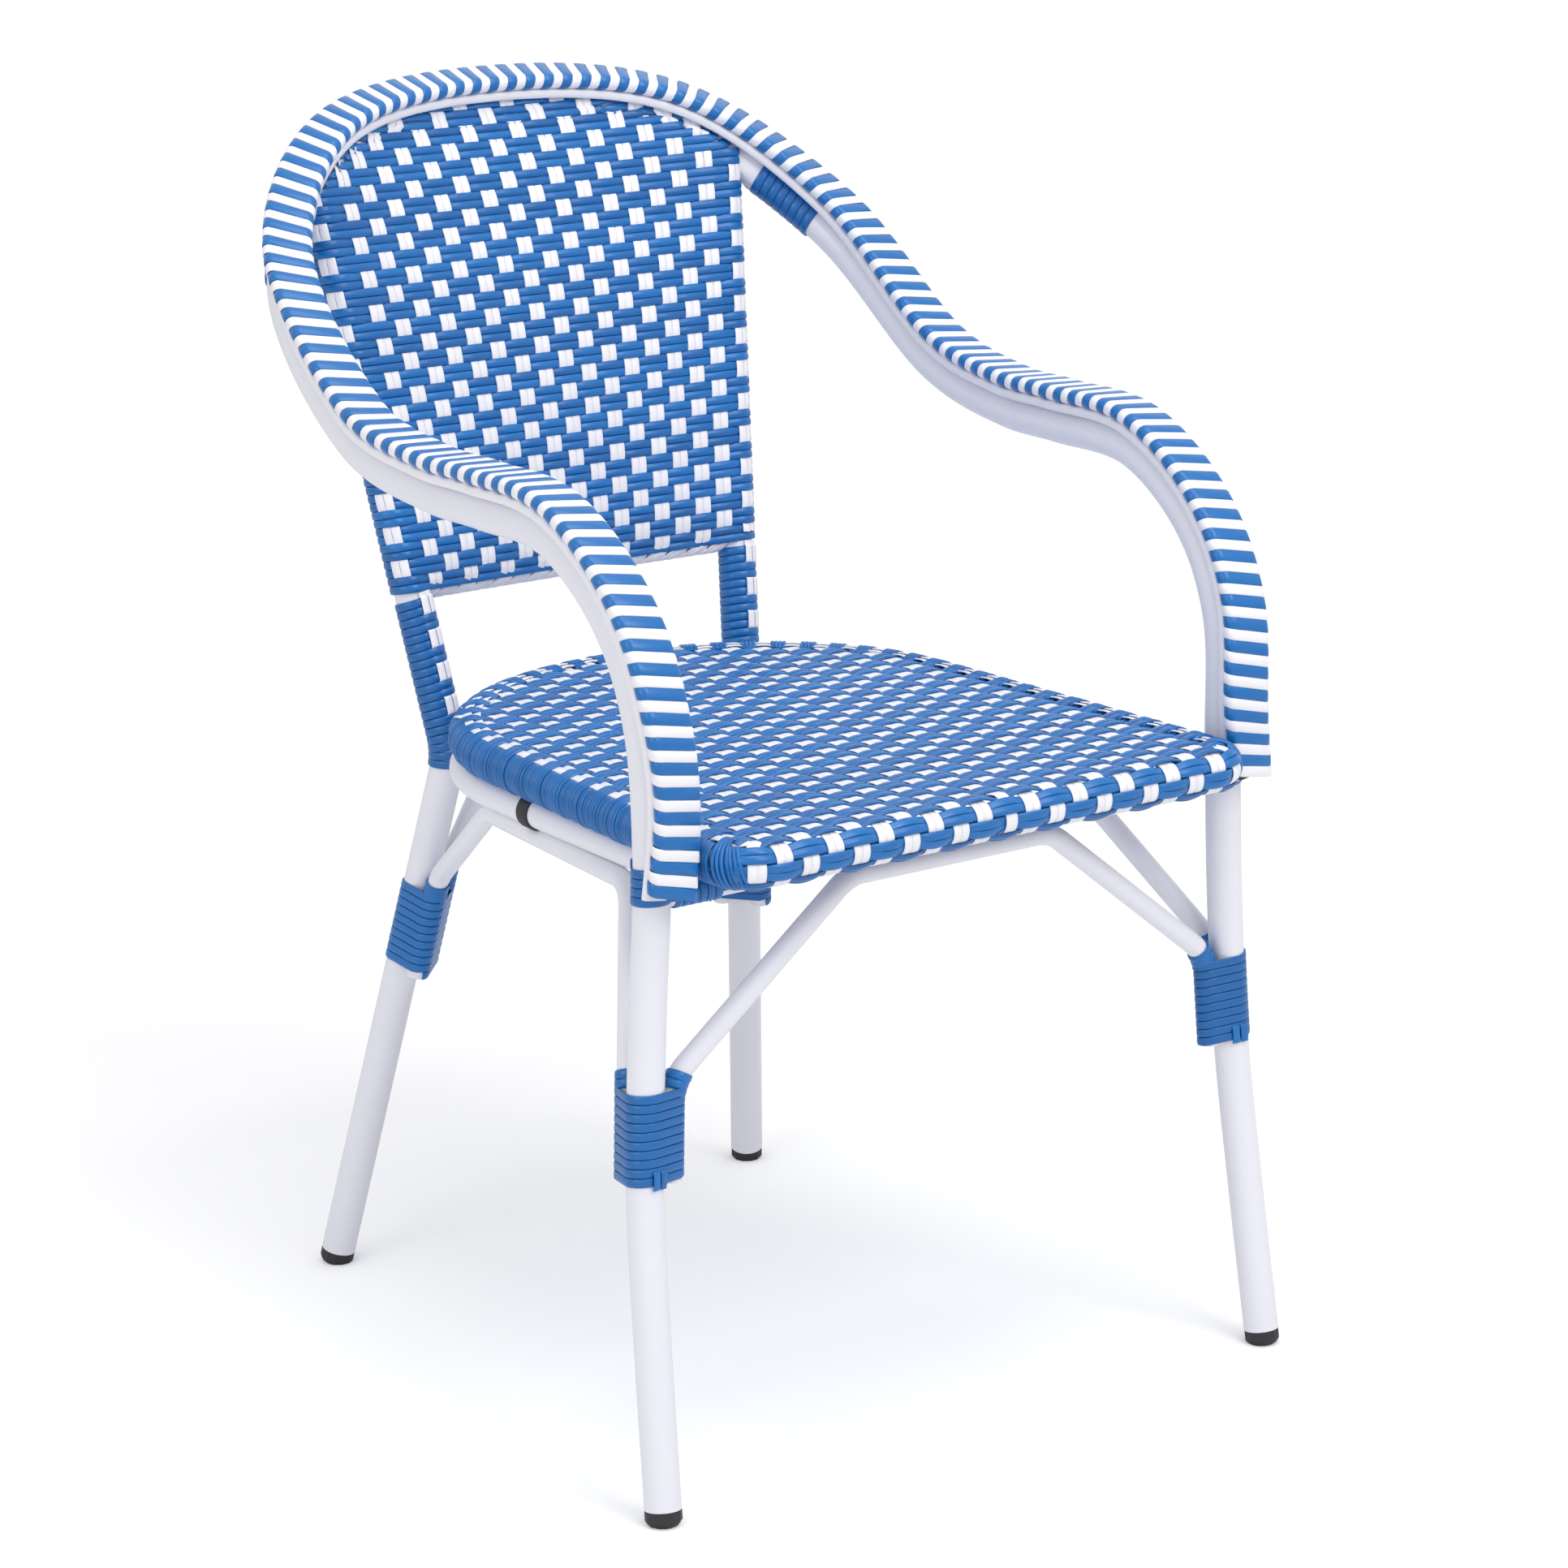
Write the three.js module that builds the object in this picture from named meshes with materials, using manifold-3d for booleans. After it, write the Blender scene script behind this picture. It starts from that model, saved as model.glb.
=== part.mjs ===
// A bistro armchair: a bent aluminium tube frame with a woven seat and a woven back.
// Millimetres, +Z up. The front faces -Y and +X is to the right of someone who looks at the front.
// The finished chair is moved so that its origin lies on the floor under the middle of its box.
import * as THREE from 'three';
import { mergeVertices } from 'three/addons/utils/BufferGeometryUtils.js';
import Module from 'manifold-3d';

const wasm = await Module();
wasm.setup();

// Clearance between solids that touch on the real chair
const fitGap = 0.3;

// Hoop: one tube from the left front foot over the arms and the back arch to the right front foot
const tubeDiameter = 25;
const tubeWall = 1.5;
const frontFootHalfSpan = 263.6;
const frontFootForward = 300.1;
const archBack = 295.1;
const hoopHeight = 843.4;
// Each row is across, from front to back, and up, for the right half from the foot to the top
const hoopShares = [
  [1, 0, 0],
  [0.983, 0.029, 0.131],
  [0.965, 0.054, 0.262],
  [0.942, 0.062, 0.394],
  [0.923, 0.063, 0.525],
  [0.93, 0.076, 0.633],
  [0.933, 0.1285, 0.7],
  [0.935, 0.2386, 0.751],
  [0.936, 0.3777, 0.757],
  [0.943, 0.48, 0.7587],
  [0.955, 0.6316, 0.7817],
  [0.89, 0.8328, 0.8897],
  [0.558, 0.956, 0.978],
  [0, 1, 1],
];
const hoopSides = 10;
const boreSides = 6;
const legSteps = 7;
const armSteps = 48;
const curveDivisions = 1600;
const searchSteps = 40;

// Band on the outer side of the hoop: a flat bar wound with striped strand, on a white strip
const bandWidth = 35;
const bandThickness = 11.3;
const bandRounding = 3;
const bandLean = 12;
const bandEndHeight = 424;
const stripWidth = 30;
const stripThickness = 8.1;

// Rear legs, which lean in to the seat and go on above it as the reclined uprights
const rearFootHalfSpan = 191.6;
const rearFootBack = 235.1;
const rearBendHalfSpan = 131;
const rearBendBack = 156;
const rearBendHeight = 404;
const rearBendRadius = 60;
const uprightTopHalfSpan = 178;
// The uprights meet the arch tube in front of its centre
const uprightTopForward = 5;

// Foot glides
const glideHeight = 10;
const glideDome = 2.2;
// Each row is outward, as a share of the tube's radius, and up, as a share of the dome
const glideShares = [
  [0, -1],
  [0.5, -0.9],
  [0.82, 0],
  [1, 1.4],
];
const glideStemLength = 15;
const glideSides = 12;

// Seat frame: a front rail between the front legs and a bowed side rail that runs round the back
const railHeight = 415;
const railDiameter = 22;
const railFrontInset = 51.3;
const railSideInset = 21;
const railBack = 160;
const railSquareness = 2.2;
const railSides = 8;
const railBackSteps = 10;
const frontRailDiameter = 18;
const frontRailHeight = 413.5;
const frontRailForward = 250;
const rearStubDiameter = 14;
const rearStubDrop = 7.5;
const rearStubAngle = 55;
const bumperThickness = 1.2;
const bumperWidth = 13;
const bumperForward = 42;

// Woven seat
const seatTop = 458;
const seatThickness = 31.5;
const seatFront = 328;
const seatBack = 168;
const seatHalfWidth = 207;
const seatSideGap = 0.8;
const seatWidestForward = 8;
const seatCornerRadius = 38;
const seatWebThickness = 10;
const seatWebDip = 2;
const seatRimWidth = 34;
const seatCornerSteps = 4;
const seatBackSteps = 9;
const seatRollSteps = 6;
const seatGrooveSteps = 4;
const rimTubeDiameter = 14;
const rimTubeInset = 15.5;
const rimTubeSides = 8;

// Woven back
const backBottomHeight = 513;
const backRailDiameter = 18;
const backRailBow = 16;
const backWeaveThickness = 6;
const backWrapThickness = 2.9;
const backColumns = 10;
const backRows = 8;
// How far the middle of the sheet lies in front of the uprights' centres, and how late it swells to the arch
const backSheetForward = 9;
const backRailSwell = 2;
const backArchSwell = 4;
const backArchSteps = 12;

// Braces: four bars bent like an inverted U under the seat
const braceDiameter = 15;
const braceSides = 8;
const braceBendRadius = 20;
const bendSteps = 4;
const frontBraceTopHalfLength = 86;
const frontBraceTopHeight = 405;
const frontBraceBendHeight = 291;
const rearBraceTopHalfLength = 90;
const rearBraceTopBack = 158;
const sideBraceFrontBendHeight = 296;
const sideBraceFrontTopHalfSpan = 197;
const sideBraceFrontTopForward = 167;
const sideBraceRearTopHalfSpan = 178;
const sideBraceRearTopBack = 30;
const rearBraceBendHeight = 316;

// Windings of flat strand
const strandThickness = 2.4;
const strandGap = 0.9;
const strandClearance = 0.6;
const strandPitch = 6.5;
const turnSteps = 10;
const sleeveSteps = 4;
// A bar that crosses further than this from a leg's surface isn't bound to that leg
const crossingReach = 40;
const frontLegWrapHeight = 224;
const frontLegWrapTurns = 10;
const rearLegWrapHeight = 240;
const rearLegWrapTurns = 10;
const legTopWrapDrop = 8;
const legTopWrapTurns = 4;
const uprightWrapLift = 15.6;
const uprightWrapTurns = 14;
const archWrapTurns = 8;
const archWrapOffset = 36.5;
const railWrapTurns = 2;

// Finishes, each with its colour, roughness and metalness
const finishes = {
  coat: [0xe9e9f1, 0.42, 0.1],
  strip: [0xf4f3f8, 0.4, 0],
  blueStrand: [0x2f66ae, 0.45, 0],
  wovenPanel: [0x5d88c2, 0.5, 0],
  rubber: [0x25252b, 0.6, 0],
};

const tubeRadius = tubeDiameter / 2;
const railRadius = railDiameter / 2;
const frontRailRadius = frontRailDiameter / 2;
const backRailRadius = backRailDiameter / 2;
const braceRadius = braceDiameter / 2;
const strandWidth = strandPitch - strandGap;
const up = new THREE.Vector3(0, 0, 1);
const sideways = new THREE.Vector3(1, 0, 0);
const backwards = new THREE.Vector3(0, 1, 0);
const sides = { left: -1, right: 1 };

const chair = new THREE.Group();

function addPart(name, geometry, finish) {
  const [color, roughness, metalness] = finishes[finish];
  const mesh = new THREE.Mesh(geometry, new THREE.MeshStandardMaterial({ color, roughness, metalness }));
  mesh.name = name;
  chair.add(mesh);
}

// A path given by its points, along which a section keeps facing a reference direction
class Spine extends THREE.Curve {
  constructor(points, reference, tangents = directionsAlong(points)) {
    super();
    this.points = points;
    this.references = Array.isArray(reference) ? reference : points.map(() => reference);
    this.tangents = tangents;
  }

  getPoint(share) {
    return this.points[Math.round(share * (this.points.length - 1))];
  }

  getSpacedPoints() {
    return this.points;
  }

  computeFrenetFrames() {
    const normals = this.tangents.map((tangent, i) => acrossFrom(tangent, this.references[i]));
    const binormals = this.tangents.map((tangent, i) => tangent.clone().cross(normals[i]));
    return { tangents: this.tangents, normals, binormals };
  }

  part(first, last) {
    const cut = (list) => list.slice(first, last + 1);
    return new Spine(cut(this.points), cut(this.references), cut(this.tangents));
  }
}

function acrossFrom(tangent, reference) {
  return reference.clone().addScaledVector(tangent, -tangent.dot(reference)).normalize();
}

function directionsAlong(points) {
  const last = points.length - 1;
  return points.map((point, i) => {
    const ahead = points[Math.min(i + 1, last)].clone().sub(point).normalize();
    const behind = point.clone().sub(points[Math.max(i - 1, 0)]).normalize();
    return ahead.add(behind).normalize();
  });
}

function sweep(section, spine) {
  return new THREE.ExtrudeGeometry(section, { steps: spine.points.length - 1, extrudePath: spine });
}

function circlePoints(radius, corners) {
  const step = (2 * Math.PI) / corners;
  return Array.from({ length: corners }, (_, i) => (
    new THREE.Vector2(radius * Math.cos((i + 0.5) * step), radius * Math.sin((i + 0.5) * step))
  ));
}

function roundSection(radius, corners) {
  return new THREE.Shape(circlePoints(radius, corners));
}

function hollowSection(radius, corners, wall, boreCorners) {
  const section = roundSection(radius, corners);
  section.holes.push(new THREE.Path(circlePoints(radius - wall, boreCorners)));
  return section;
}

// A flat bar whose inner face lies at a distance from the path and whose corners are cut off
function barSection(innerFace, thickness, width, rounding = 0) {
  const outerFace = innerFace + thickness;
  const edge = width / 2;
  const corners = [[innerFace, -edge], [outerFace, -edge], [outerFace, edge], [innerFace, edge]];
  const centre = new THREE.Vector2(innerFace + thickness / 2, 0);
  const points = corners.flatMap(([x, y], i) => {
    const corner = new THREE.Vector2(x, y);
    if (rounding === 0) return [corner];
    const along = new THREE.Vector2(Math.sign(centre.x - x) * rounding, 0);
    const aside = new THREE.Vector2(0, Math.sign(-y) * rounding);
    return (i % 2 === 0 ? [aside, along] : [along, aside]).map((shift) => corner.clone().add(shift));
  });
  return new THREE.Shape(points);
}

// A bar's centre line through corners that are rounded by a bend radius
function bentLine(corners, bendRadius) {
  const points = [corners[0]];
  for (let i = 1; i < corners.length - 1; i += 1) {
    const before = corners[i].clone().sub(corners[i - 1]).normalize();
    const after = corners[i + 1].clone().sub(corners[i]).normalize();
    const angle = before.angleTo(after);
    const reach = bendRadius * Math.tan(angle / 2);
    const start = corners[i].clone().addScaledVector(before, -reach);
    const axis = before.clone().cross(after).normalize();
    const centre = start.clone().addScaledVector(axis.clone().cross(before), bendRadius);
    for (let k = 0; k <= bendSteps; k += 1) {
      const arm = start.clone().sub(centre).applyAxisAngle(axis, (angle * k) / bendSteps);
      points.push(centre.clone().add(arm));
    }
  }
  points.push(corners[corners.length - 1]);
  return points;
}

function solidOf(geometry) {
  const bare = geometry.clone();
  bare.deleteAttribute('normal');
  bare.deleteAttribute('uv');
  const merged = mergeVertices(bare);
  const mesh = new wasm.Mesh({
    numProp: 3,
    vertProperties: merged.attributes.position.array,
    triVerts: new Uint32Array(merged.index.array),
  });
  return new wasm.Manifold(mesh);
}

function geometryOf(solid) {
  const mesh = solid.getMesh();
  const geometry = new THREE.BufferGeometry();
  geometry.setAttribute('position', new THREE.BufferAttribute(mesh.vertProperties, 3));
  geometry.setIndex(new THREE.BufferAttribute(mesh.triVerts, 1));
  geometry.computeVertexNormals();
  return geometry;
}

// Cuts tools out of a solid and drops the offcuts
function cutAway(solid, tools) {
  const rest = tools.reduce((left, tool) => left.subtract(solidOf(tool)), solid);
  const pieces = rest.decompose().sort((a, b) => b.volume() - a.volume());
  return geometryOf(pieces[0]);
}

function meshOf(points, triangles) {
  const geometry = new THREE.BufferGeometry().setFromPoints(points);
  geometry.setIndex(triangles);
  geometry.computeVertexNormals();
  return geometry;
}

// Skin over a stack of rings, each an outline that runs anticlockwise seen from above
function skinRings(rings, closed) {
  const count = rings[0].length;
  const points = rings.flat();
  const triangles = [];
  const last = closed ? rings.length : rings.length - 1;
  for (let k = 0; k < last; k += 1) {
    const inner = k * count;
    const outer = ((k + 1) % rings.length) * count;
    for (let i = 0; i < count; i += 1) {
      const next = (i + 1) % count;
      triangles.push(inner + i, outer + i, outer + next, inner + i, outer + next, inner + next);
    }
  }
  if (!closed) {
    const flats = THREE.ShapeUtils.triangulateShape(rings[0].map((p) => new THREE.Vector2(p.x, p.y)), []);
    const under = (rings.length - 1) * count;
    flats.forEach(([a, b, c]) => triangles.push(a, b, c, under + a, under + c, under + b));
  }
  return meshOf(points, triangles);
}

// Hoop curve, with the right half mirrored to the left
function hoopCurve() {
  const depth = frontFootForward + archBack;
  const place = ([across, along, rise], side) => new THREE.Vector3(
    side * across * frontFootHalfSpan,
    along * depth - frontFootForward,
    rise * hoopHeight,
  );
  const left = hoopShares.map((row) => place(row, -1));
  const right = hoopShares.slice(0, -1).reverse().map((row) => place(row, 1));
  const curve = new THREE.CatmullRomCurve3([...left, ...right], false, 'centripetal');
  curve.arcLengthDivisions = curveDivisions;
  return curve;
}

const hoop = hoopCurve();
const hoopLength = hoop.getLength();

// Length along the hoop, from the left foot, at which a test first holds
function hoopLengthWhere(test) {
  let low = 0;
  let high = hoopLength / 2;
  for (let i = 0; i < searchSteps; i += 1) {
    const middle = (low + high) / 2;
    if (test(hoop.getPointAt(middle / hoopLength))) high = middle;
    else low = middle;
  }
  return high;
}

function hoopHeightLength(height) {
  return hoopLengthWhere((point) => point.z >= height);
}

// Point of a front leg at a height
function frontLegPoint(side, height) {
  const point = hoop.getPointAt(hoopHeightLength(height) / hoopLength);
  return point.set(-side * point.x, point.y, point.z);
}

const bandFacing = new THREE.Vector3(
  0,
  -Math.sin(THREE.MathUtils.degToRad(bandLean)),
  Math.cos(THREE.MathUtils.degToRad(bandLean)),
);

// Hoop spine: a few steps up each leg and even steps over the banded stretch between them
function hoopSpine() {
  const footLength = hoopHeightLength(glideHeight + fitGap);
  const bandLength = hoopHeightLength(bandEndHeight);
  const lengths = [];
  for (let i = 0; i < legSteps; i += 1) {
    lengths.push(footLength + ((bandLength - footLength) * i) / legSteps);
  }
  for (let i = 0; i <= armSteps; i += 1) {
    lengths.push(bandLength + ((hoopLength - 2 * bandLength) * i) / armSteps);
  }
  for (let i = legSteps - 1; i >= 0; i -= 1) lengths.push(hoopLength - lengths[i]);
  const shares = lengths.map((length) => length / hoopLength);
  const points = shares.map((share) => hoop.getPointAt(share));
  const tangents = shares.map((share) => hoop.getTangentAt(share));
  return new Spine(points, bandFacing, tangents);
}

const hoopLine = hoopSpine();
const bandLine = hoopLine.part(legSteps, legSteps + armSteps);

// Rear leg: its centre line from foot to hoop
const archJointLength = hoopLengthWhere((point) => point.z > bandEndHeight && point.x > -uprightTopHalfSpan);

function rearLegCorners(side) {
  const archPoint = hoop.getPointAt(archJointLength / hoopLength);
  return {
    foot: new THREE.Vector3(side * rearFootHalfSpan, rearFootBack, 0),
    bend: new THREE.Vector3(side * rearBendHalfSpan, rearBendBack, rearBendHeight),
    top: new THREE.Vector3(-side * archPoint.x, archPoint.y - uprightTopForward, archPoint.z),
  };
}

function rearLegSpine(side) {
  const { foot, bend, top } = rearLegCorners(side);
  const rise = bend.clone().sub(foot).normalize();
  const start = foot.clone().addScaledVector(rise, glideHeight + fitGap);
  return new Spine(bentLine([start, bend, top], rearBendRadius), sideways);
}

const rearLegLines = { left: rearLegSpine(sides.left), right: rearLegSpine(sides.right) };

// Point on a straight line through two points at a height
function pointAtHeight(from, to, height) {
  return from.clone().lerp(to, (height - from.z) / (to.z - from.z));
}

// The seat just fits between the bands on the front legs
const seatFrontHalfWidth = frontLegPoint(1, seatTop).x - bandWidth / 2 - seatSideGap;

// Outline of the seat or of a line inside its edge, from the middle of the front round to the right
function seatOutline(inset) {
  const corner = Math.max(seatCornerRadius - inset, fitGap);
  const cornerX = seatFrontHalfWidth - inset - corner;
  const cornerY = -seatFront + inset + corner;
  const quarter = Math.PI / 2;
  const half = [];
  for (let i = 0; i <= seatCornerSteps; i += 1) {
    const angle = -quarter + (quarter * i) / seatCornerSteps;
    half.push([cornerX + corner * Math.cos(angle), cornerY + corner * Math.sin(angle)]);
  }
  for (let i = 0; i < seatBackSteps; i += 1) {
    const angle = (quarter * i) / seatBackSteps;
    const reach = seatBack + seatWidestForward - inset;
    half.push([(seatHalfWidth - inset) * Math.cos(angle), -seatWidestForward + reach * Math.sin(angle)]);
  }
  const middle = [[0, seatBack - inset]];
  const mirrored = half.map(([x, y]) => [-x, y]).reverse();
  return [...half, ...middle, ...mirrored];
}

function seatRing(inset, height) {
  return seatOutline(inset).map(([x, y]) => new THREE.Vector3(x, y, height));
}

// The side rail keeps its distance from the front legs and from the sides of the seat
const railFrontHalfWidth = frontLegPoint(1, frontRailHeight).x - railFrontInset;
const railHalfWidth = seatHalfWidth - railSideInset;

// Back of the side rail, a squarish half ellipse
function railCurve(angle) {
  const power = 2 / railSquareness;
  return [railHalfWidth * Math.cos(angle) ** power, railBack * Math.sin(angle) ** power];
}

// Spine of the side rail: straight sides that open to the front and a half ellipse at the back
function sideRailSpine() {
  const frontEnd = -frontRailForward + frontRailRadius + fitGap;
  const half = [[railFrontHalfWidth, frontEnd]];
  for (let i = 0; i < railBackSteps; i += 1) half.push(railCurve((Math.PI / 2) * (i / railBackSteps)));
  const outline = [...half, [0, railBack], ...half.map(([x, y]) => [-x, y]).reverse()];
  return new Spine(outline.map(([x, y]) => new THREE.Vector3(x, y, railHeight)), up);
}

const sideRailLine = sideRailSpine();

// Front brace: up beside each front leg and across under the seat
function frontBraceSpine() {
  const offset = tubeRadius + braceRadius + fitGap;
  const low = frontLegPoint(1, frontLegWrapHeight);
  const high = frontLegPoint(1, frontBraceBendHeight);
  const end = new THREE.Vector3(low.x - offset, low.y, low.z);
  const bend = new THREE.Vector3(high.x - offset, high.y, high.z);
  const top = new THREE.Vector3(frontBraceTopHalfLength, high.y, frontBraceTopHeight);
  const right = [end, bend, top];
  const left = right.map((p) => new THREE.Vector3(-p.x, p.y, p.z)).reverse();
  return new Spine(bentLine([...right, ...left], braceBendRadius), backwards);
}

// Rear brace: the same between the rear legs, under the back of the side rail
function rearBraceSpine() {
  const { foot, bend } = rearLegCorners(1);
  const offset = tubeRadius + braceRadius + fitGap;
  const rise = bend.clone().sub(foot).normalize();
  const inward = acrossFrom(rise, sideways).negate();
  const along = (height) => pointAtHeight(foot, bend, height).addScaledVector(inward, offset);
  const topHeight = railHeight - railRadius - braceRadius - fitGap;
  const top = new THREE.Vector3(rearBraceTopHalfLength, rearBraceTopBack, topHeight);
  const right = [along(rearLegWrapHeight), along(rearBraceBendHeight), top];
  const left = right.map((p) => new THREE.Vector3(-p.x, p.y, p.z)).reverse();
  return new Spine(bentLine([...right, ...left], braceBendRadius), backwards);
}

// Side brace: from behind a front leg, under the side rail, to the front of a rear leg
function sideBraceSpine(side) {
  const offset = tubeRadius + braceRadius + fitGap;
  const low = frontLegPoint(side, frontLegWrapHeight);
  const high = frontLegPoint(side, sideBraceFrontBendHeight);
  const lift = high.clone().sub(low).normalize();
  const behind = acrossFrom(lift, backwards);
  const topHeight = railHeight - railRadius - bumperThickness - braceRadius - 2 * fitGap;
  const { foot, bend } = rearLegCorners(side);
  const rise = bend.clone().sub(foot).normalize();
  const ahead = acrossFrom(rise, backwards).negate();
  const rear = (height) => pointAtHeight(foot, bend, height).addScaledVector(ahead, offset);
  const corners = [
    low.addScaledVector(behind, offset),
    high.addScaledVector(behind, offset),
    new THREE.Vector3(side * sideBraceFrontTopHalfSpan, -sideBraceFrontTopForward, topHeight),
    new THREE.Vector3(side * sideBraceRearTopHalfSpan, sideBraceRearTopBack, topHeight),
    rear(rearBraceBendHeight),
    rear(rearLegWrapHeight),
  ];
  return new Spine(bentLine(corners, braceBendRadius), sideways);
}

const braceLines = {
  front: frontBraceSpine(),
  rear: rearBraceSpine(),
  left: sideBraceSpine(sides.left),
  right: sideBraceSpine(sides.right),
};

let leastStrandGap = Infinity;

// Least distance between the corners of a winding's loops, measured one loop or more apart
function measureStrandGap(spine, halfThickness, halfWidth) {
  const { normals, binormals } = spine.computeFrenetFrames();
  const rings = spine.points.map((point, i) => [-1, 1].flatMap((a) => [-1, 1].map((b) => (
    point.clone().addScaledVector(normals[i], a * halfThickness).addScaledVector(binormals[i], b * halfWidth)
  ))));
  for (let i = 0; i < rings.length; i += 1) {
    for (let j = i + turnSteps - 1; j < rings.length; j += 1) {
      rings[i].forEach((p) => rings[j].forEach((q) => {
        leastStrandGap = Math.min(leastStrandGap, p.distanceTo(q));
      }));
    }
  }
}

// A flat strand wound round bars. The frame gives the place and directions at a length along them,
// and bars lists the centre and radius of each bar there, in those directions.
function windStrand(frame, bars, turns) {
  const step = (2 * Math.PI) / turnSteps;
  const reach = (list, angle) => Math.max(...list.map(({ x, y, radius }) => (
    x * Math.cos(angle) + y * Math.sin(angle) + radius + strandClearance + strandThickness / 2
  )));
  const points = [];
  const outward = [];
  for (let i = 0; i <= turns * turnSteps; i += 1) {
    const length = (strandPitch * i) / turnSteps;
    const { origin, across, aside } = frame(length);
    const list = bars(length);
    const first = Math.PI + i * step;
    const second = first + step;
    const near = reach(list, first);
    const far = reach(list, second);
    const x = (near * Math.sin(second) - far * Math.sin(first)) / Math.sin(step);
    const y = (far * Math.cos(first) - near * Math.cos(second)) / Math.sin(step);
    const middle = first + step / 2;
    points.push(origin.clone().addScaledVector(across, x).addScaledVector(aside, y));
    outward.push(across.clone().multiplyScalar(Math.cos(middle)).addScaledVector(aside, Math.sin(middle)));
  }
  const last = points.length - 1;
  const lead = points[0].clone().sub(points[1]).setLength(strandWidth).add(points[0]);
  const tail = points[last].clone().sub(points[last - 1]).setLength(strandWidth).add(points[last]);
  const spine = new Spine([lead, ...points, tail], [outward[0], ...outward, outward[last]]);
  measureStrandGap(spine, strandThickness / 2, strandWidth / 2);
  return sweep(barSection(-strandThickness / 2, strandThickness, strandWidth), spine);
}

function straightFrame(from, to, reference) {
  const rise = to.clone().sub(from).normalize();
  const across = acrossFrom(rise, reference);
  const aside = rise.clone().cross(across);
  return (length) => ({ origin: from.clone().addScaledVector(rise, length), across, aside, rise });
}

// Frame along the hoop from a length on it, towards its right end or, with -1, its left end
function hoopFrame(start, direction) {
  return (length) => {
    const share = (start + direction * length) / hoopLength;
    const rise = hoop.getTangentAt(share).multiplyScalar(direction);
    const across = acrossFrom(rise, bandFacing);
    return { origin: hoop.getPointAt(share), across, aside: rise.clone().cross(across), rise };
  };
}

// Where bars cross the plane of a frame, with a leaning bar's radius widened to match
function barsAcross(frame, legRadius, lines) {
  const crossings = (length) => {
    const { origin, across, aside, rise } = frame(length);
    const list = [{ x: 0, y: 0, radius: legRadius }];
    lines.forEach((line) => {
      const heights = line.points.map((p) => p.clone().sub(origin).dot(rise));
      for (let i = 1; i < heights.length; i += 1) {
        const crossing = heights[i - 1] * heights[i] <= 0 && heights[i] !== heights[i - 1];
        const share = heights[i - 1] / (heights[i - 1] - heights[i]);
        const place = line.points[i - 1].clone().lerp(line.points[i], crossing ? share : 0);
        const arm = place.sub(origin);
        const near = arm.length() < legRadius + braceRadius + crossingReach;
        const tilt = line.points[i].clone().sub(line.points[i - 1]).normalize().dot(rise);
        if (crossing && near) {
          list.push({ x: arm.dot(across), y: arm.dot(aside), radius: braceRadius / Math.abs(tilt) });
        }
      }
    });
    return list;
  };
  const edges = [-strandWidth / 2, 0, strandWidth / 2];
  return (length) => edges.flatMap((edge) => crossings(length + edge));
}

// Round bar along a stretch of the hoop
function hoopSleeve(from, to, radius, steps = sleeveSteps) {
  const lengths = Array.from({ length: steps + 1 }, (_, i) => from + ((to - from) * i) / steps);
  const shares = lengths.map((length) => length / hoopLength);
  const points = shares.map((share) => hoop.getPointAt(share));
  const tangents = shares.map((share) => hoop.getTangentAt(share));
  return sweep(roundSection(radius, hoopSides), new Spine(points, bandFacing, tangents));
}

// Radius of a round cut that clears a winding on a bar of a given radius
function strandReach(radius) {
  const corners = (radius + strandClearance + strandThickness) / Math.cos(Math.PI / turnSteps);
  return (corners + fitGap) / Math.cos(Math.PI / hoopSides);
}

const legTopWrapStart = hoopHeightLength(bandEndHeight - legTopWrapDrop);
const archWrapStart = archJointLength - archWrapOffset;
const windingLength = (turns) => turns * strandPitch;

function makeHoop() {
  addPart('hoop_tube', sweep(hollowSection(tubeRadius, hoopSides, tubeWall, boreSides), hoopLine), 'coat');
}

const bandInnerFace = tubeRadius + stripThickness + 2 * fitGap;

function hoopClearance() {
  return sweep(roundSection(tubeRadius + fitGap, hoopSides), bandLine);
}

function bandClearance() {
  return sweep(barSection(bandInnerFace - fitGap, bandThickness + fitGap, bandWidth + 2 * fitGap), bandLine);
}

// White strip between the tube and the band, relieved where a winding passes under it
function makeStrip() {
  const section = barSection(tubeRadius + fitGap, stripThickness + fitGap, stripWidth);
  const radius = strandReach(tubeRadius);
  const legTopEnd = legTopWrapStart + windingLength(legTopWrapTurns) + strandWidth;
  const archEnd = archWrapStart - windingLength(archWrapTurns) - strandWidth;
  const ranges = [
    [legTopWrapStart - strandWidth, legTopEnd],
    [archEnd, archWrapStart + strandWidth],
  ];
  const tools = ranges.flatMap(([from, to]) => [
    hoopSleeve(from, to, radius),
    hoopSleeve(hoopLength - to, hoopLength - from, radius),
  ]);
  tools.push(hoopClearance(), bandClearance());
  addPart('hoop_strip', cutAway(solidOf(sweep(section, bandLine)), tools), 'strip');
}

function makeBand() {
  const section = barSection(bandInnerFace, bandThickness, bandWidth, bandRounding);
  addPart('striped_band', sweep(section, bandLine), 'blueStrand');
}

function makeRearLegs() {
  Object.keys(sides).forEach((name) => {
    const tube = sweep(hollowSection(tubeRadius, hoopSides, tubeWall, boreSides), rearLegLines[name]);
    addPart(`rear_leg_${name}`, cutAway(solidOf(tube), [hoopClearance()]), 'coat');
  });
}

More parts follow.
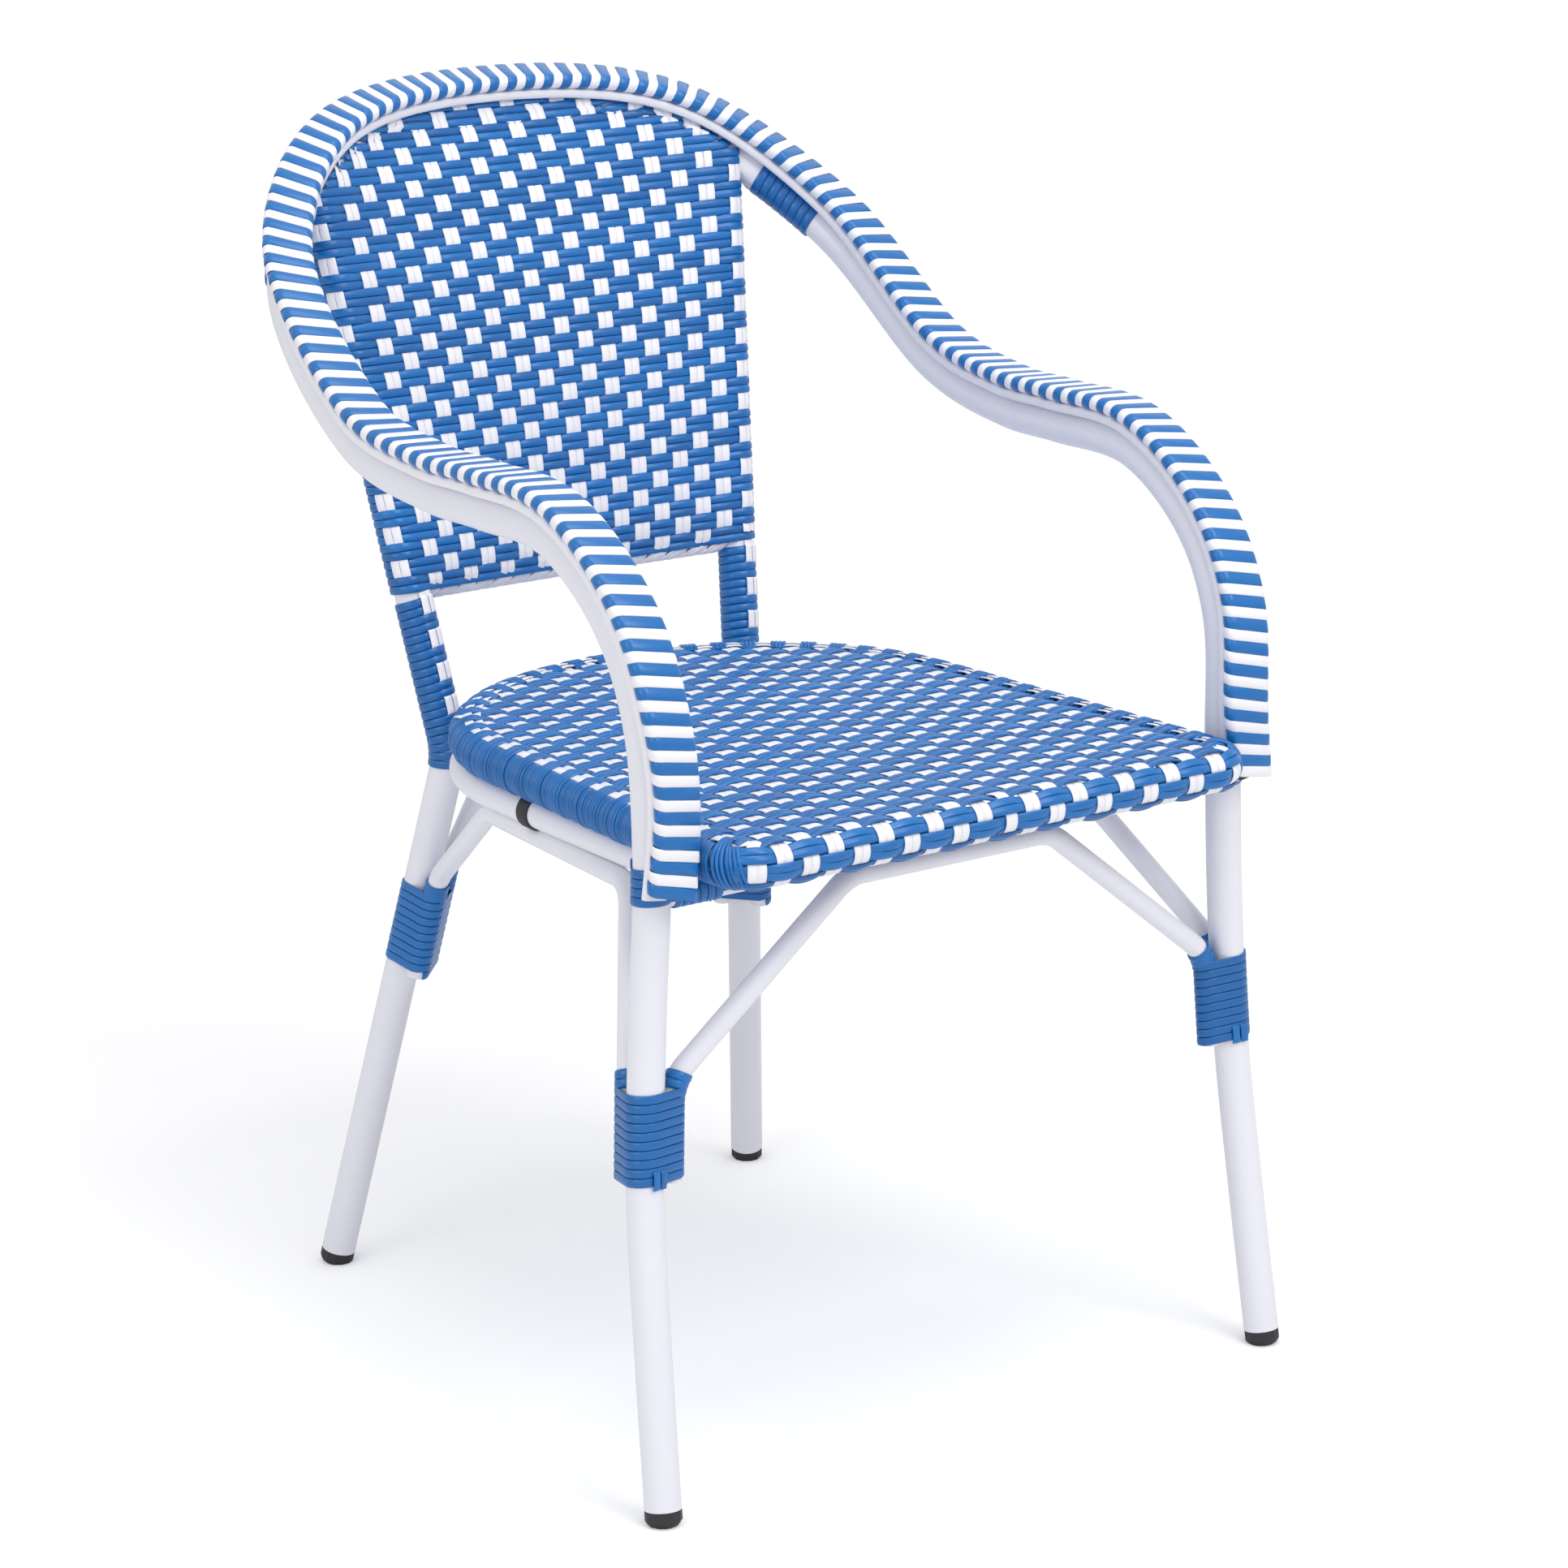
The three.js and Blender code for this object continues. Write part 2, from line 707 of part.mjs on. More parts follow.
// Rail inside the lower edge of the woven back, bowed to the rear
function backRailLine() {
  const { bend, top } = rearLegCorners(1);
  const height = backBottomHeight + backWrapThickness + fitGap + backRailRadius;
  const end = pointAtHeight(bend, top, height);
  const points = Array.from({ length: backColumns + 1 }, (_, i) => {
    const share = (2 * i) / backColumns - 1;
    return new THREE.Vector3(share * end.x, end.y + backRailBow * (1 - share * share), height);
  });
  return new Spine(points, up);
}

function makeBackRail() {
  const tools = Object.values(rearLegLines).map((line) => (
    sweep(roundSection(tubeRadius + fitGap, hoopSides), line)
  ));
  const rail = sweep(roundSection(backRailRadius, railSides), backRailLine());
  addPart('back_lower_rail', cutAway(solidOf(rail), tools), 'coat');
}

// Sheet of weave between the uprights: bowed with the lower rail and with the arch, flatter in between
function backSheet() {
  const low = backRailLine().points;
  const { bend, top } = rearLegCorners(1);
  const facing = top.clone().sub(bend).normalize().cross(sideways).normalize();
  const bowOf = (point) => point.clone().sub(bend).dot(facing);
  const rows = [];
  for (let j = 0; j <= backRows; j += 1) {
    const share = j / backRows;
    rows.push(low.map((start, i) => {
      const across = Math.abs((2 * i) / backColumns - 1) * uprightTopHalfSpan;
      const length = hoopLengthWhere((p) => p.z > bandEndHeight && p.x > -across);
      const end = hoop.getPointAt(length / hoopLength);
      end.x = Math.sign(i - backColumns / 2) * across;
      const point = start.clone().lerp(end, share);
      const bow = bowOf(start) * (1 - share) ** backRailSwell + bowOf(end) * share ** backArchSwell;
      return point.addScaledVector(facing, bow - bowOf(point) - backSheetForward);
    }));
  }
  const shift = (distance) => rows.flat().map((p) => p.clone().addScaledVector(facing, distance));
  const points = [...shift(backWeaveThickness / 2), ...shift(-backWeaveThickness / 2)];
  const count = backColumns + 1;
  const behind = rows.length * count;
  const triangles = [];
  const quad = (a, b, c, d) => triangles.push(a, b, c, a, c, d);
  for (let j = 0; j < backRows; j += 1) {
    for (let i = 0; i < backColumns; i += 1) {
      const a = j * count + i;
      const b = a + count;
      quad(a + 1, a, b, b + 1);
      quad(behind + a, behind + a + 1, behind + b + 1, behind + b);
    }
    const left = j * count;
    const right = left + backColumns;
    quad(left, behind + left, behind + left + count, left + count);
    quad(behind + right, right, right + count, behind + right + count);
  }
  for (let i = 0; i < backColumns; i += 1) {
    const roof = backRows * count + i;
    quad(i, i + 1, behind + i + 1, behind + i);
    quad(roof + 1, roof, behind + roof, behind + roof + 1);
  }
  return meshOf(points, triangles);
}

// Woven back: the sheet and the weave that wraps the uprights, the lower rail and the arch
function makeBackWeave() {
  const { bend, top } = rearLegCorners(1);
  const wrapRadius = tubeRadius + fitGap + backWrapThickness;
  const arch = (radius) => hoopSleeve(archJointLength, hoopLength - archJointLength, radius, backArchSteps);
  const uprights = Object.keys(sides).map((name) => {
    const line = [bend, top].map((p) => new THREE.Vector3(sides[name] * p.x, p.y, p.z));
    const start = pointAtHeight(line[0], line[1], backBottomHeight);
    return sweep(roundSection(wrapRadius, hoopSides), new Spine([start, line[1]], sideways));
  });
  const rail = sweep(roundSection(backRailRadius + fitGap + backWrapThickness, railSides), backRailLine());
  const bodies = [...uprights, rail, arch(wrapRadius)].map(solidOf);
  const whole = bodies.reduce((sum, body) => sum.add(body), solidOf(backSheet()));
  const channels = [
    hoopClearance(),
    sweep(roundSection(backRailRadius + fitGap, railSides), backRailLine()),
    sweep(barSection(tubeRadius, bandInnerFace + bandThickness - tubeRadius, bandWidth), bandLine),
    ...Object.values(rearLegLines).map((line) => sweep(roundSection(tubeRadius + fitGap, hoopSides), line)),
  ];
  addPart('back_weave', cutAway(whole, channels), 'wovenPanel');
}

// Foot glide: a cap under the tube with a stem inside it, cut flat where it stands
function makeGlide(name, foot, above) {
  const stemRadius = (tubeRadius - tubeWall) * Math.cos(Math.PI / boreSides) - fitGap;
  const profile = [
    ...glideShares.map(([outward, rise]) => [outward * tubeRadius, rise * glideDome]),
    [tubeRadius, glideHeight],
    [stemRadius, glideHeight],
    [stemRadius, glideHeight + glideStemLength],
    [0, glideHeight + glideStemLength],
  ].map(([radius, height]) => new THREE.Vector2(radius, height));
  const cap = new THREE.LatheGeometry(profile, glideSides);
  const turn = new THREE.Quaternion().setFromUnitVectors(backwards, above.clone().sub(foot).normalize());
  cap.applyQuaternion(turn);
  cap.translate(foot.x, foot.y, foot.z);
  const ground = new THREE.BoxGeometry(4 * tubeDiameter, 4 * tubeDiameter, tubeDiameter);
  ground.translate(foot.x, foot.y, -tubeDiameter / 2);
  addPart(`foot_glide_${name}`, cutAway(solidOf(cap), [ground]), 'rubber');
}

function makeGlides() {
  Object.entries(sides).forEach(([name, side]) => {
    makeGlide(`front_${name}`, frontLegPoint(side, 0), frontLegPoint(side, 2 * glideHeight));
    const { foot, bend } = rearLegCorners(side);
    makeGlide(`rear_${name}`, foot, bend);
  });
}

// The front rail ends at the windings of the front legs
const frontRailEnd = frontLegPoint(1, frontRailHeight).x - strandReach(tubeRadius) - fitGap;

function makeSeatFrame() {
  addPart('seat_side_rail', sweep(roundSection(railRadius, railSides), sideRailLine), 'coat');
  const ends = [-frontRailEnd, frontRailEnd].map((x) => new THREE.Vector3(x, -frontRailForward, frontRailHeight));
  addPart('seat_front_rail', sweep(roundSection(frontRailRadius, railSides), new Spine(ends, up)), 'coat');
  const angle = THREE.MathUtils.degToRad(rearStubAngle);
  Object.entries(sides).forEach(([name, side]) => {
    const { foot, bend } = rearLegCorners(side);
    const height = railHeight - rearStubDrop;
    const legPoint = new THREE.Vector3(bend.x, bend.y, height);
    const [railX, railY] = railCurve(angle);
    const railPoint = new THREE.Vector3(side * railX, railY, height);
    const stub = sweep(roundSection(rearStubDiameter / 2, braceSides), new Spine([railPoint, legPoint], up));
    const tools = [
      sweep(roundSection(railRadius + fitGap, railSides), sideRailLine),
      sweep(roundSection(tubeRadius + fitGap, hoopSides), rearLegLines[name]),
    ];
    addPart(`rear_stub_${name}`, cutAway(solidOf(stub), tools), 'coat');
  });
}

function makeBumpers() {
  Object.entries(sides).forEach(([name, side]) => {
    const slope = (railFrontHalfWidth - railHalfWidth) / frontRailForward;
    const ends = [bumperForward - bumperWidth / 2, bumperForward + bumperWidth / 2].map((forward) => (
      new THREE.Vector3(side * (railHalfWidth + slope * forward), -forward, railHeight)
    ));
    const radius = railRadius + fitGap + bumperThickness;
    const section = hollowSection(radius, railSides, bumperThickness, railSides);
    addPart(`bumper_${name}`, sweep(section, new Spine(ends, up)), 'rubber');
  });
}

// Seat weave, rolled over its hidden rim tube, with a groove under that tube
function makeSeat() {
  const bottom = seatTop - seatThickness;
  const middle = seatTop - seatThickness / 2;
  const roll = seatThickness / 2;
  const grooveRadius = (rimTubeDiameter / 2 + fitGap) / Math.cos(Math.PI / rimTubeSides);
  const innerLip = railHeight + railRadius + 2 * fitGap + bumperThickness;
  const web = seatTop - seatWebDip - seatWebThickness;
  const profile = [
    [2 * seatRimWidth, seatTop - seatWebDip],
    [seatRimWidth, seatTop - seatWebDip],
  ];
  for (let i = 0; i <= seatRollSteps; i += 1) {
    const angle = Math.PI / 2 - (Math.PI * i) / seatRollSteps;
    profile.push([(roll * (1 - Math.cos(angle))) / 2, middle + roll * Math.sin(angle)]);
  }
  profile.splice(2, 1, [roll, seatTop]);
  profile.push([rimTubeInset - grooveRadius, bottom]);
  for (let i = 0; i <= seatGrooveSteps; i += 1) {
    const angle = Math.PI - (Math.PI * i) / seatGrooveSteps;
    profile.push([rimTubeInset + grooveRadius * Math.cos(angle), middle + grooveRadius * Math.sin(angle)]);
  }
  profile.push([rimTubeInset + grooveRadius, innerLip]);
  profile.push([seatRimWidth, innerLip]);
  profile.push([seatRimWidth, web]);
  profile.push([2 * seatRimWidth, web]);
  const skin = skinRings(profile.map(([inset, height]) => seatRing(inset, height)), false);
  addPart('seat_weave', skin, 'wovenPanel');
  const rim = circlePoints(rimTubeDiameter / 2, rimTubeSides).reverse();
  const rings = rim.map(({ x, y }) => seatRing(rimTubeInset + x, middle + y));
  addPart('seat_rim_tube', skinRings(rings.reverse(), true), 'coat');
}

function makeBraces() {
  Object.entries(braceLines).forEach(([name, line]) => {
    addPart(`brace_${name}`, sweep(roundSection(braceRadius, braceSides), line), 'coat');
  });
}

function makeLegWraps() {
  Object.entries(sides).forEach(([name, side]) => {
    const low = hoopHeightLength(frontLegWrapHeight);
    const frontFrame = hoopFrame(side < 0 ? low : hoopLength - low, -side);
    const frontBars = barsAcross(frontFrame, tubeRadius, [braceLines.front, braceLines[name]]);
    const front = windStrand(frontFrame, frontBars, frontLegWrapTurns);
    addPart(`front_leg_wrap_${name}`, front, 'blueStrand');
    const { foot, bend } = rearLegCorners(side);
    const rearFrame = straightFrame(pointAtHeight(foot, bend, rearLegWrapHeight), bend, backwards);
    const rearBars = barsAcross(rearFrame, tubeRadius, [braceLines.rear, braceLines[name]]);
    addPart(`rear_leg_wrap_${name}`, windStrand(rearFrame, rearBars, rearLegWrapTurns), 'blueStrand');
  });
}

function makeUprightWraps() {
  Object.entries(sides).forEach(([name, side]) => {
    const { bend, top } = rearLegCorners(side);
    const start = bend.clone().addScaledVector(top.clone().sub(bend).normalize(), uprightWrapLift);
    const frame = straightFrame(start, top, backwards);
    const bars = barsAcross(frame, tubeRadius, []);
    addPart(`upright_wrap_${name}`, windStrand(frame, bars, uprightWrapTurns), 'blueStrand');
  });
}

// Windings round the hoop itself: at the top of each front leg and beside each end of the arch
function makeHoopWraps() {
  const bars = () => [{ x: 0, y: 0, radius: tubeRadius }];
  const wind = (start, direction, turns) => windStrand(hoopFrame(start, direction), bars, turns);
  const legTop = { left: [legTopWrapStart, 1], right: [hoopLength - legTopWrapStart, -1] };
  const arch = { left: [archWrapStart, -1], right: [hoopLength - archWrapStart, 1] };
  Object.keys(sides).forEach((name) => {
    addPart(`leg_top_wrap_${name}`, wind(...legTop[name], legTopWrapTurns), 'blueStrand');
    addPart(`arch_wrap_${name}`, wind(...arch[name], archWrapTurns), 'blueStrand');
  });
}

function makeRailWraps() {
  Object.entries(sides).forEach(([name, side]) => {
    const inner = frontRailEnd - windingLength(railWrapTurns) - strandWidth;
    const from = new THREE.Vector3(side * inner, -frontRailForward, frontRailHeight);
    const frame = straightFrame(from, from.clone().addScaledVector(sideways, side), up);
    const bars = barsAcross(frame, frontRailRadius, []);
    addPart(`front_rail_wrap_${name}`, windStrand(frame, bars, railWrapTurns), 'blueStrand');
  });
}

makeHoop();
makeStrip();
makeBand();
makeRearLegs();
makeBackRail();
makeBackWeave();
makeGlides();
makeSeatFrame();
makeBumpers();
makeSeat();
makeBraces();
makeLegWraps();
makeUprightWraps();
makeHoopWraps();
makeRailWraps();

console.log(`least gap between loops of a winding: ${leastStrandGap.toFixed(2)} mm`);

const box = new THREE.Box3().setFromObject(chair);
const centre = box.getCenter(new THREE.Vector3());
chair.position.set(-centre.x, -centre.y, -box.min.z);

export default chair;
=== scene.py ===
# %% [markdown]
# # A woven bistro armchair
# The real chair is a bent aluminium tube frame in white powder coat. Flat plastic strand, blue and white,
# is woven into a seat and a back, and wound round the arms, the joints and the legs.
# This lesson dresses the engineering model of the chair. The model gives every place and size,
# and the cells below make smooth tubes, real strands and their finishes around it.

# %% Load the frame
import math

import bpy
import numpy as np
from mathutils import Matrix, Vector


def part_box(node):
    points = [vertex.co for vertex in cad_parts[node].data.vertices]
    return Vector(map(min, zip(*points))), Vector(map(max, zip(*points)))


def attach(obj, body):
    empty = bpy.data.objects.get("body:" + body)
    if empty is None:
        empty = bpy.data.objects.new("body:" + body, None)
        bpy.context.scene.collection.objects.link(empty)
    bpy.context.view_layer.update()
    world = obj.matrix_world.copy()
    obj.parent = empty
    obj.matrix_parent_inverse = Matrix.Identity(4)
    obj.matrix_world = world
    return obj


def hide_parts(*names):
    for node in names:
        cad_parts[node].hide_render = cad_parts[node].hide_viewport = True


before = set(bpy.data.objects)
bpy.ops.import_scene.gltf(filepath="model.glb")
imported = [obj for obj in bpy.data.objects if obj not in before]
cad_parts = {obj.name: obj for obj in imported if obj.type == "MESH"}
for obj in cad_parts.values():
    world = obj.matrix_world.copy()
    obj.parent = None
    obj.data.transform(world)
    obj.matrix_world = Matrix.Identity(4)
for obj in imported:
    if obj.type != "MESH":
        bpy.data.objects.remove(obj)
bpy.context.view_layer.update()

print("nodes in the frame:", len(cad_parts))

# %% [markdown]
# ## Units and places
# Everything below is worked out in millimetres, because strand and tube sizes are easy to read in them,
# and turned into metres when a mesh is made. The chair's own drawing has its y axis measured from the
# middle of the legs, so one shift, read from the seat's box, brings its numbers into the frame.

# %% Units and the shift along y
MM = 0.001
SEAT_FRONT = 328
shift_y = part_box("seat_weave")[0].y / MM + SEAT_FRONT
UP = np.array([0.0, 0.0, 1.0])
RIGHT = np.array([1.0, 0.0, 0.0])
BACK = np.array([0.0, 1.0, 0.0])
SIDES = {"left": -1, "right": 1}
MIRROR = np.array([-1.0, 1.0, 1.0])
QUARTER = math.pi / 2
print(f"shift along y: {shift_y:.2f} mm")

# %% [markdown]
# ## Camera
# The photograph was taken from the chair's left front, a little above the seat, with a long lens.
# The camera repeats that view, so that each render can be laid beside the photograph.

# %% Camera
AZIMUTH = math.radians(-36.39)
ELEVATION = math.radians(15.57)
DISTANCE = 3274.2
TARGET = np.array([0.0, -66.5, 411.0])
LENS = 106.88
SENSOR_WIDTH = 36


def outward(azimuth, elevation):
    """Direction from the chair to an azimuth, counted from straight ahead, and an elevation."""
    level = math.cos(elevation)
    return np.array([math.sin(azimuth) * level, -math.cos(azimuth) * level, math.sin(elevation)])


camera = bpy.data.objects.new("camera", bpy.data.cameras.new("camera"))
camera.location = (TARGET + DISTANCE * outward(AZIMUTH, ELEVATION)) * MM
camera.rotation_euler = (QUARTER - ELEVATION, 0, AZIMUTH)
camera.data.lens = LENS
camera.data.sensor_width = SENSOR_WIDTH
bpy.context.scene.collection.objects.link(camera)
bpy.context.scene.camera = camera
bpy.context.scene.view_settings.view_transform = "Standard"
print("camera at", [round(v, 3) for v in camera.location])

# %% [markdown]
# ## Building with nodes
# Materials and Geometry Nodes trees are both made of nodes. One small function adds a node with its
# settings, the values of its sockets and the links that feed it, so that a tree reads as a list of steps.

# %% Node helper and colour helper
def add_node(tree, kind, settings=None, values=None, links=None):
    """Adds a node with its settings, the values of its sockets and the outputs that feed them."""
    node = tree.nodes.new(kind)
    for name, value in (settings or {}).items():
        setattr(node, name, value)
    for socket, value in (values or {}).items():
        node.inputs[socket].default_value = value
    for socket, source in (links or {}).items():
        tree.links.new(source, node.inputs[socket])
    return node


def colour(code):
    """Linear colour of an sRGB hex value."""
    parts = [int(code[i:i + 2], 16) / 255 for i in (1, 3, 5)]
    return [p / 12.92 if p <= 0.04045 else ((p + 0.055) / 1.055) ** 2.4 for p in parts] + [1]


print("a middle grey of #808080 is linear", round(colour("#808080")[0], 3))

# %% [markdown]
# ## Finishes
# Four finishes make the chair: white powder coat on the tubes, white and blue polyethylene for strip and
# strand, and black rubber. Each is a plastic-like surface, so each has an index of refraction near 1.5
# and no metal, and they differ in colour, roughness and the small relief that the making leaves.

# %% Material helper
def new_material(name, code, roughness, ior=1.5):
    """A material of one colour, with its node tree and its shader node."""
    material = bpy.data.materials.new(name)
    material.use_nodes = True
    tree = material.node_tree
    shader = tree.nodes["Principled BSDF"]
    shader.inputs["Base Color"].default_value = colour(code)
    shader.inputs["Roughness"].default_value = roughness
    shader.inputs["IOR"].default_value = ior
    return material, tree, shader


def add_relief(tree, shader, height, depth):
    """Small relief from a height between 0 and 1. The depth is in millimetres."""
    bump = add_node(tree, "ShaderNodeBump", values={"Distance": depth * MM}, links={"Height": height})
    tree.links.new(bump.outputs["Normal"], shader.inputs["Normal"])


# %% [markdown]
# Powder coat is sprayed dry and melted on, which leaves a faint orange peel with a grain of a few
# millimetres and a satin gloss. A fine noise in object space gives the peel, and a second, much larger
# one varies the gloss a little, as hands and packing do.

# %% Powder-coated aluminium
PEEL_GRAIN = 2.2
PEEL_DEPTH = 0.02
GLOSS_PATCH = 90
COAT_ROUGHNESS = 0.31, 0.43


def powder_coat():
    material, tree, shader = new_material("powder-coated aluminium", "#EBEBF3", 0.36)
    place = add_node(tree, "ShaderNodeTexCoord")
    peel = add_node(
        tree, "ShaderNodeTexNoise", values={"Scale": 1 / (PEEL_GRAIN * MM), "Detail": 2},
        links={"Vector": place.outputs["Object"]},
    )
    patches = add_node(
        tree, "ShaderNodeTexNoise", values={"Scale": 1 / (GLOSS_PATCH * MM), "Detail": 3},
        links={"Vector": place.outputs["Object"]},
    )
    smoothest, roughest = COAT_ROUGHNESS
    gloss = add_node(
        tree, "ShaderNodeMapRange", values={"To Min": smoothest, "To Max": roughest},
        links={"Value": patches.outputs["Fac"]},
    )
    tree.links.new(gloss.outputs["Result"], shader.inputs["Roughness"])
    add_relief(tree, shader, peel.outputs["Fac"], PEEL_DEPTH)
    return material


coat = powder_coat()
print(coat.name, "with", len(coat.node_tree.nodes), "nodes")

# %% [markdown]
# Strand is extruded polyethylene. The die draws fine lines along it, and each length off the reel has a
# slightly different tone. The meshes carry three attributes for this: how far along the strand a point
# lies, where it lies across it, and the tone of that length. Lines about half a millimetre apart are too
# fine for the render, so they are drawn a little wider.

# %% Polyethylene strand
LINE_SPACING = 0.8
LINE_LENGTH = 45
SCUFF_LENGTH = 12
TONE_SHARE = 0.65
SCUFF_SHARE = 0.35
TONE_SHIFT = 40.0
SMOOTHER, ROUGHER = 0.06, 0.08


def strand_material(name, code, deep_code, roughness, width, line_depth):
    """Strand of a width, with die lines along it, between a first and a deeper colour."""
    material, tree, shader = new_material(name, code, roughness, 1.51)
    along = add_node(tree, "ShaderNodeAttribute", {"attribute_name": "along"})
    across = add_node(tree, "ShaderNodeAttribute", {"attribute_name": "across"})
    tone = add_node(tree, "ShaderNodeAttribute", {"attribute_name": "tone"})

    def stretched(length, spacing):
        """Noise with grains of a length along the strand and a spacing across it."""
        ahead = add_node(
            tree, "ShaderNodeMath", {"operation": "DIVIDE"}, {1: length * MM}, {0: along.outputs["Fac"]}
        )
        aside = add_node(
            tree, "ShaderNodeMath", {"operation": "MULTIPLY"}, {1: width / 2 / spacing},
            {0: across.outputs["Fac"]},
        )
        shifted = add_node(
            tree, "ShaderNodeMath", {"operation": "MULTIPLY"}, {1: TONE_SHIFT}, {0: tone.outputs["Fac"]}
        )
        place = add_node(
            tree, "ShaderNodeCombineXYZ", None, None,
            {0: ahead.outputs[0], 1: aside.outputs[0], 2: shifted.outputs[0]},
        )
        return add_node(
            tree, "ShaderNodeTexNoise", values={"Scale": 1.0, "Detail": 2},
            links={"Vector": place.outputs[0]},
        )

    lines = stretched(LINE_LENGTH, LINE_SPACING)
    scuffs = stretched(SCUFF_LENGTH, width)
    depth = add_node(
        tree, "ShaderNodeMath", {"operation": "MULTIPLY"}, {1: SCUFF_SHARE}, {0: scuffs.outputs["Fac"]}
    )
    share = add_node(
        tree, "ShaderNodeMath", {"operation": "MULTIPLY_ADD", "use_clamp": True}, {1: TONE_SHARE},
        {0: tone.outputs["Fac"], 2: depth.outputs[0]},
    )
    mix = add_node(
        tree, "ShaderNodeMix", {"data_type": "RGBA"}, {6: colour(code), 7: colour(deep_code)},
        {0: share.outputs[0]},
    )
    tree.links.new(mix.outputs[2], shader.inputs["Base Color"])
    gloss = add_node(
        tree, "ShaderNodeMapRange", values={"To Min": roughness - SMOOTHER, "To Max": roughness + ROUGHER},
        links={"Value": scuffs.outputs["Fac"]},
    )
    tree.links.new(gloss.outputs["Result"], shader.inputs["Roughness"])
    add_relief(tree, shader, lines.outputs["Fac"], line_depth)
    return material


# %% Blue strand, white strand and strip
blue_strand = strand_material(
    "extruded blue polyethylene strand", "#1273BE", "#0B5BA0", roughness=0.31, width=6.2, line_depth=0.05
)
white_strand = strand_material(
    "extruded white polyethylene strand", "#F6F5FA", "#EFEEF5", roughness=0.38, width=6.2, line_depth=0.03
)
white_strip = strand_material(
    "extruded white polyethylene strip", "#F4F3F8", "#F0EFF6", roughness=0.36, width=30, line_depth=0.03
)
print("strand lines are drawn", LINE_SPACING, "mm apart")

# %% [markdown]
# The glides and the bumpers are moulded rubber: nearly black, dull, with the fine sandy grain of a spark
# eroded mould. The bar inside the band gets the same dull, nearly black finish as painted shade: it only
# shows in the gaps between two turns, and its dark colour paints the shadow there.

# %% Moulded rubber, and the core bar in painted shade
RUBBER_GRAIN = 0.9
RUBBER_DEPTH = 0.04
RUBBER_ROUGHNESS = 0.48, 0.66


def rubber(name, code):
    """Dull moulded material with a sandy grain."""
    smoothest, roughest = RUBBER_ROUGHNESS
    material, tree, shader = new_material(name, code, roughest, 1.52)
    place = add_node(tree, "ShaderNodeTexCoord")
    grain = add_node(
        tree, "ShaderNodeTexNoise", values={"Scale": 1 / (RUBBER_GRAIN * MM), "Detail": 4},
        links={"Vector": place.outputs["Object"]},
    )
    gloss = add_node(
        tree, "ShaderNodeMapRange", values={"To Min": smoothest, "To Max": roughest},
        links={"Value": grain.outputs["Fac"]},
    )
    tree.links.new(gloss.outputs["Result"], shader.inputs["Roughness"])
    add_relief(tree, shader, grain.outputs["Fac"], RUBBER_DEPTH)
    return material


black_rubber = rubber("moulded black rubber", "#222227")
# The core bar is nearly black as painted shade: its dark colour paints the shadow in the gaps between
# turns.
core_in_painted_shade = rubber("core bar dark as painted shade", "#2B3140")
print("finishes:", [m.name for m in bpy.data.materials])

# %% [markdown]
# ## One tree that sweeps
# Nearly every piece of this chair is a section drawn along a path: tubes, the strip, and all the strand.
# So one Geometry Nodes tree does it. A mesh of bare edges carries the paths, with an attribute that says
# which way the flat of the strand faces. The tree turns edges into curves, gives them that normal and
# sweeps a section whose squareness runs from a circle, at 2, to a bar with rounded corners.

# %% The section inside the tree
def add_section(tree, given):
    """Adds nodes that turn a circle into the section with the given thickness, width and squareness."""
    circle = add_node(
        tree, "GeometryNodeCurvePrimitiveCircle", values={"Radius": 1.0},
        links={"Resolution": given["Sides"]},
    )
    position = add_node(tree, "GeometryNodeInputPosition")
    axes = add_node(tree, "ShaderNodeSeparateXYZ", links={0: position.outputs[0]})
    power = add_node(tree, "ShaderNodeMath", {"operation": "DIVIDE"}, {0: 2.0}, {1: given["Squareness"]})

    def product(first, second):
        return add_node(tree, "ShaderNodeMath", {"operation": "MULTIPLY"}, None, {0: first, 1: second})

    def squared(axis):
        size = add_node(tree, "ShaderNodeMath", {"operation": "ABSOLUTE"}, None, {0: axes.outputs[axis]})
        raised = add_node(
            tree, "ShaderNodeMath", {"operation": "POWER"}, None, {0: size.outputs[0], 1: power.outputs[0]}
        )
        sign = add_node(tree, "ShaderNodeMath", {"operation": "SIGN"}, None, {0: axes.outputs[axis]})
        return product(raised.outputs[0], sign.outputs[0])

    def scaled(share, length):
        half = add_node(tree, "ShaderNodeMath", {"operation": "MULTIPLY"}, {1: 0.5}, {0: given[length]})
        return product(share.outputs[0], half.outputs[0])

    outward, aside = squared(0), squared(1)
    place = add_node(
        tree, "ShaderNodeCombineXYZ", None, None,
        {0: scaled(outward, "Thickness").outputs[0], 1: scaled(aside, "Width").outputs[0]},
    )
    marked = add_node(
        tree, "GeometryNodeStoreNamedAttribute", {"data_type": "FLOAT", "domain": "POINT"},
        {"Name": "across"}, {"Geometry": circle.outputs[0], "Value": aside.outputs[0]},
    )
    return add_node(
        tree, "GeometryNodeSetPosition", None, None,
        {"Geometry": marked.outputs[0], "Position": place.outputs[0]},
    )


# %% The sweeping tree
TREE_INPUTS = {
    "Thickness": "NodeSocketFloat",
    "Width": "NodeSocketFloat",
    "Sides": "NodeSocketInt",
    "Squareness": "NodeSocketFloat",
    "Finish": "NodeSocketMaterial",
}


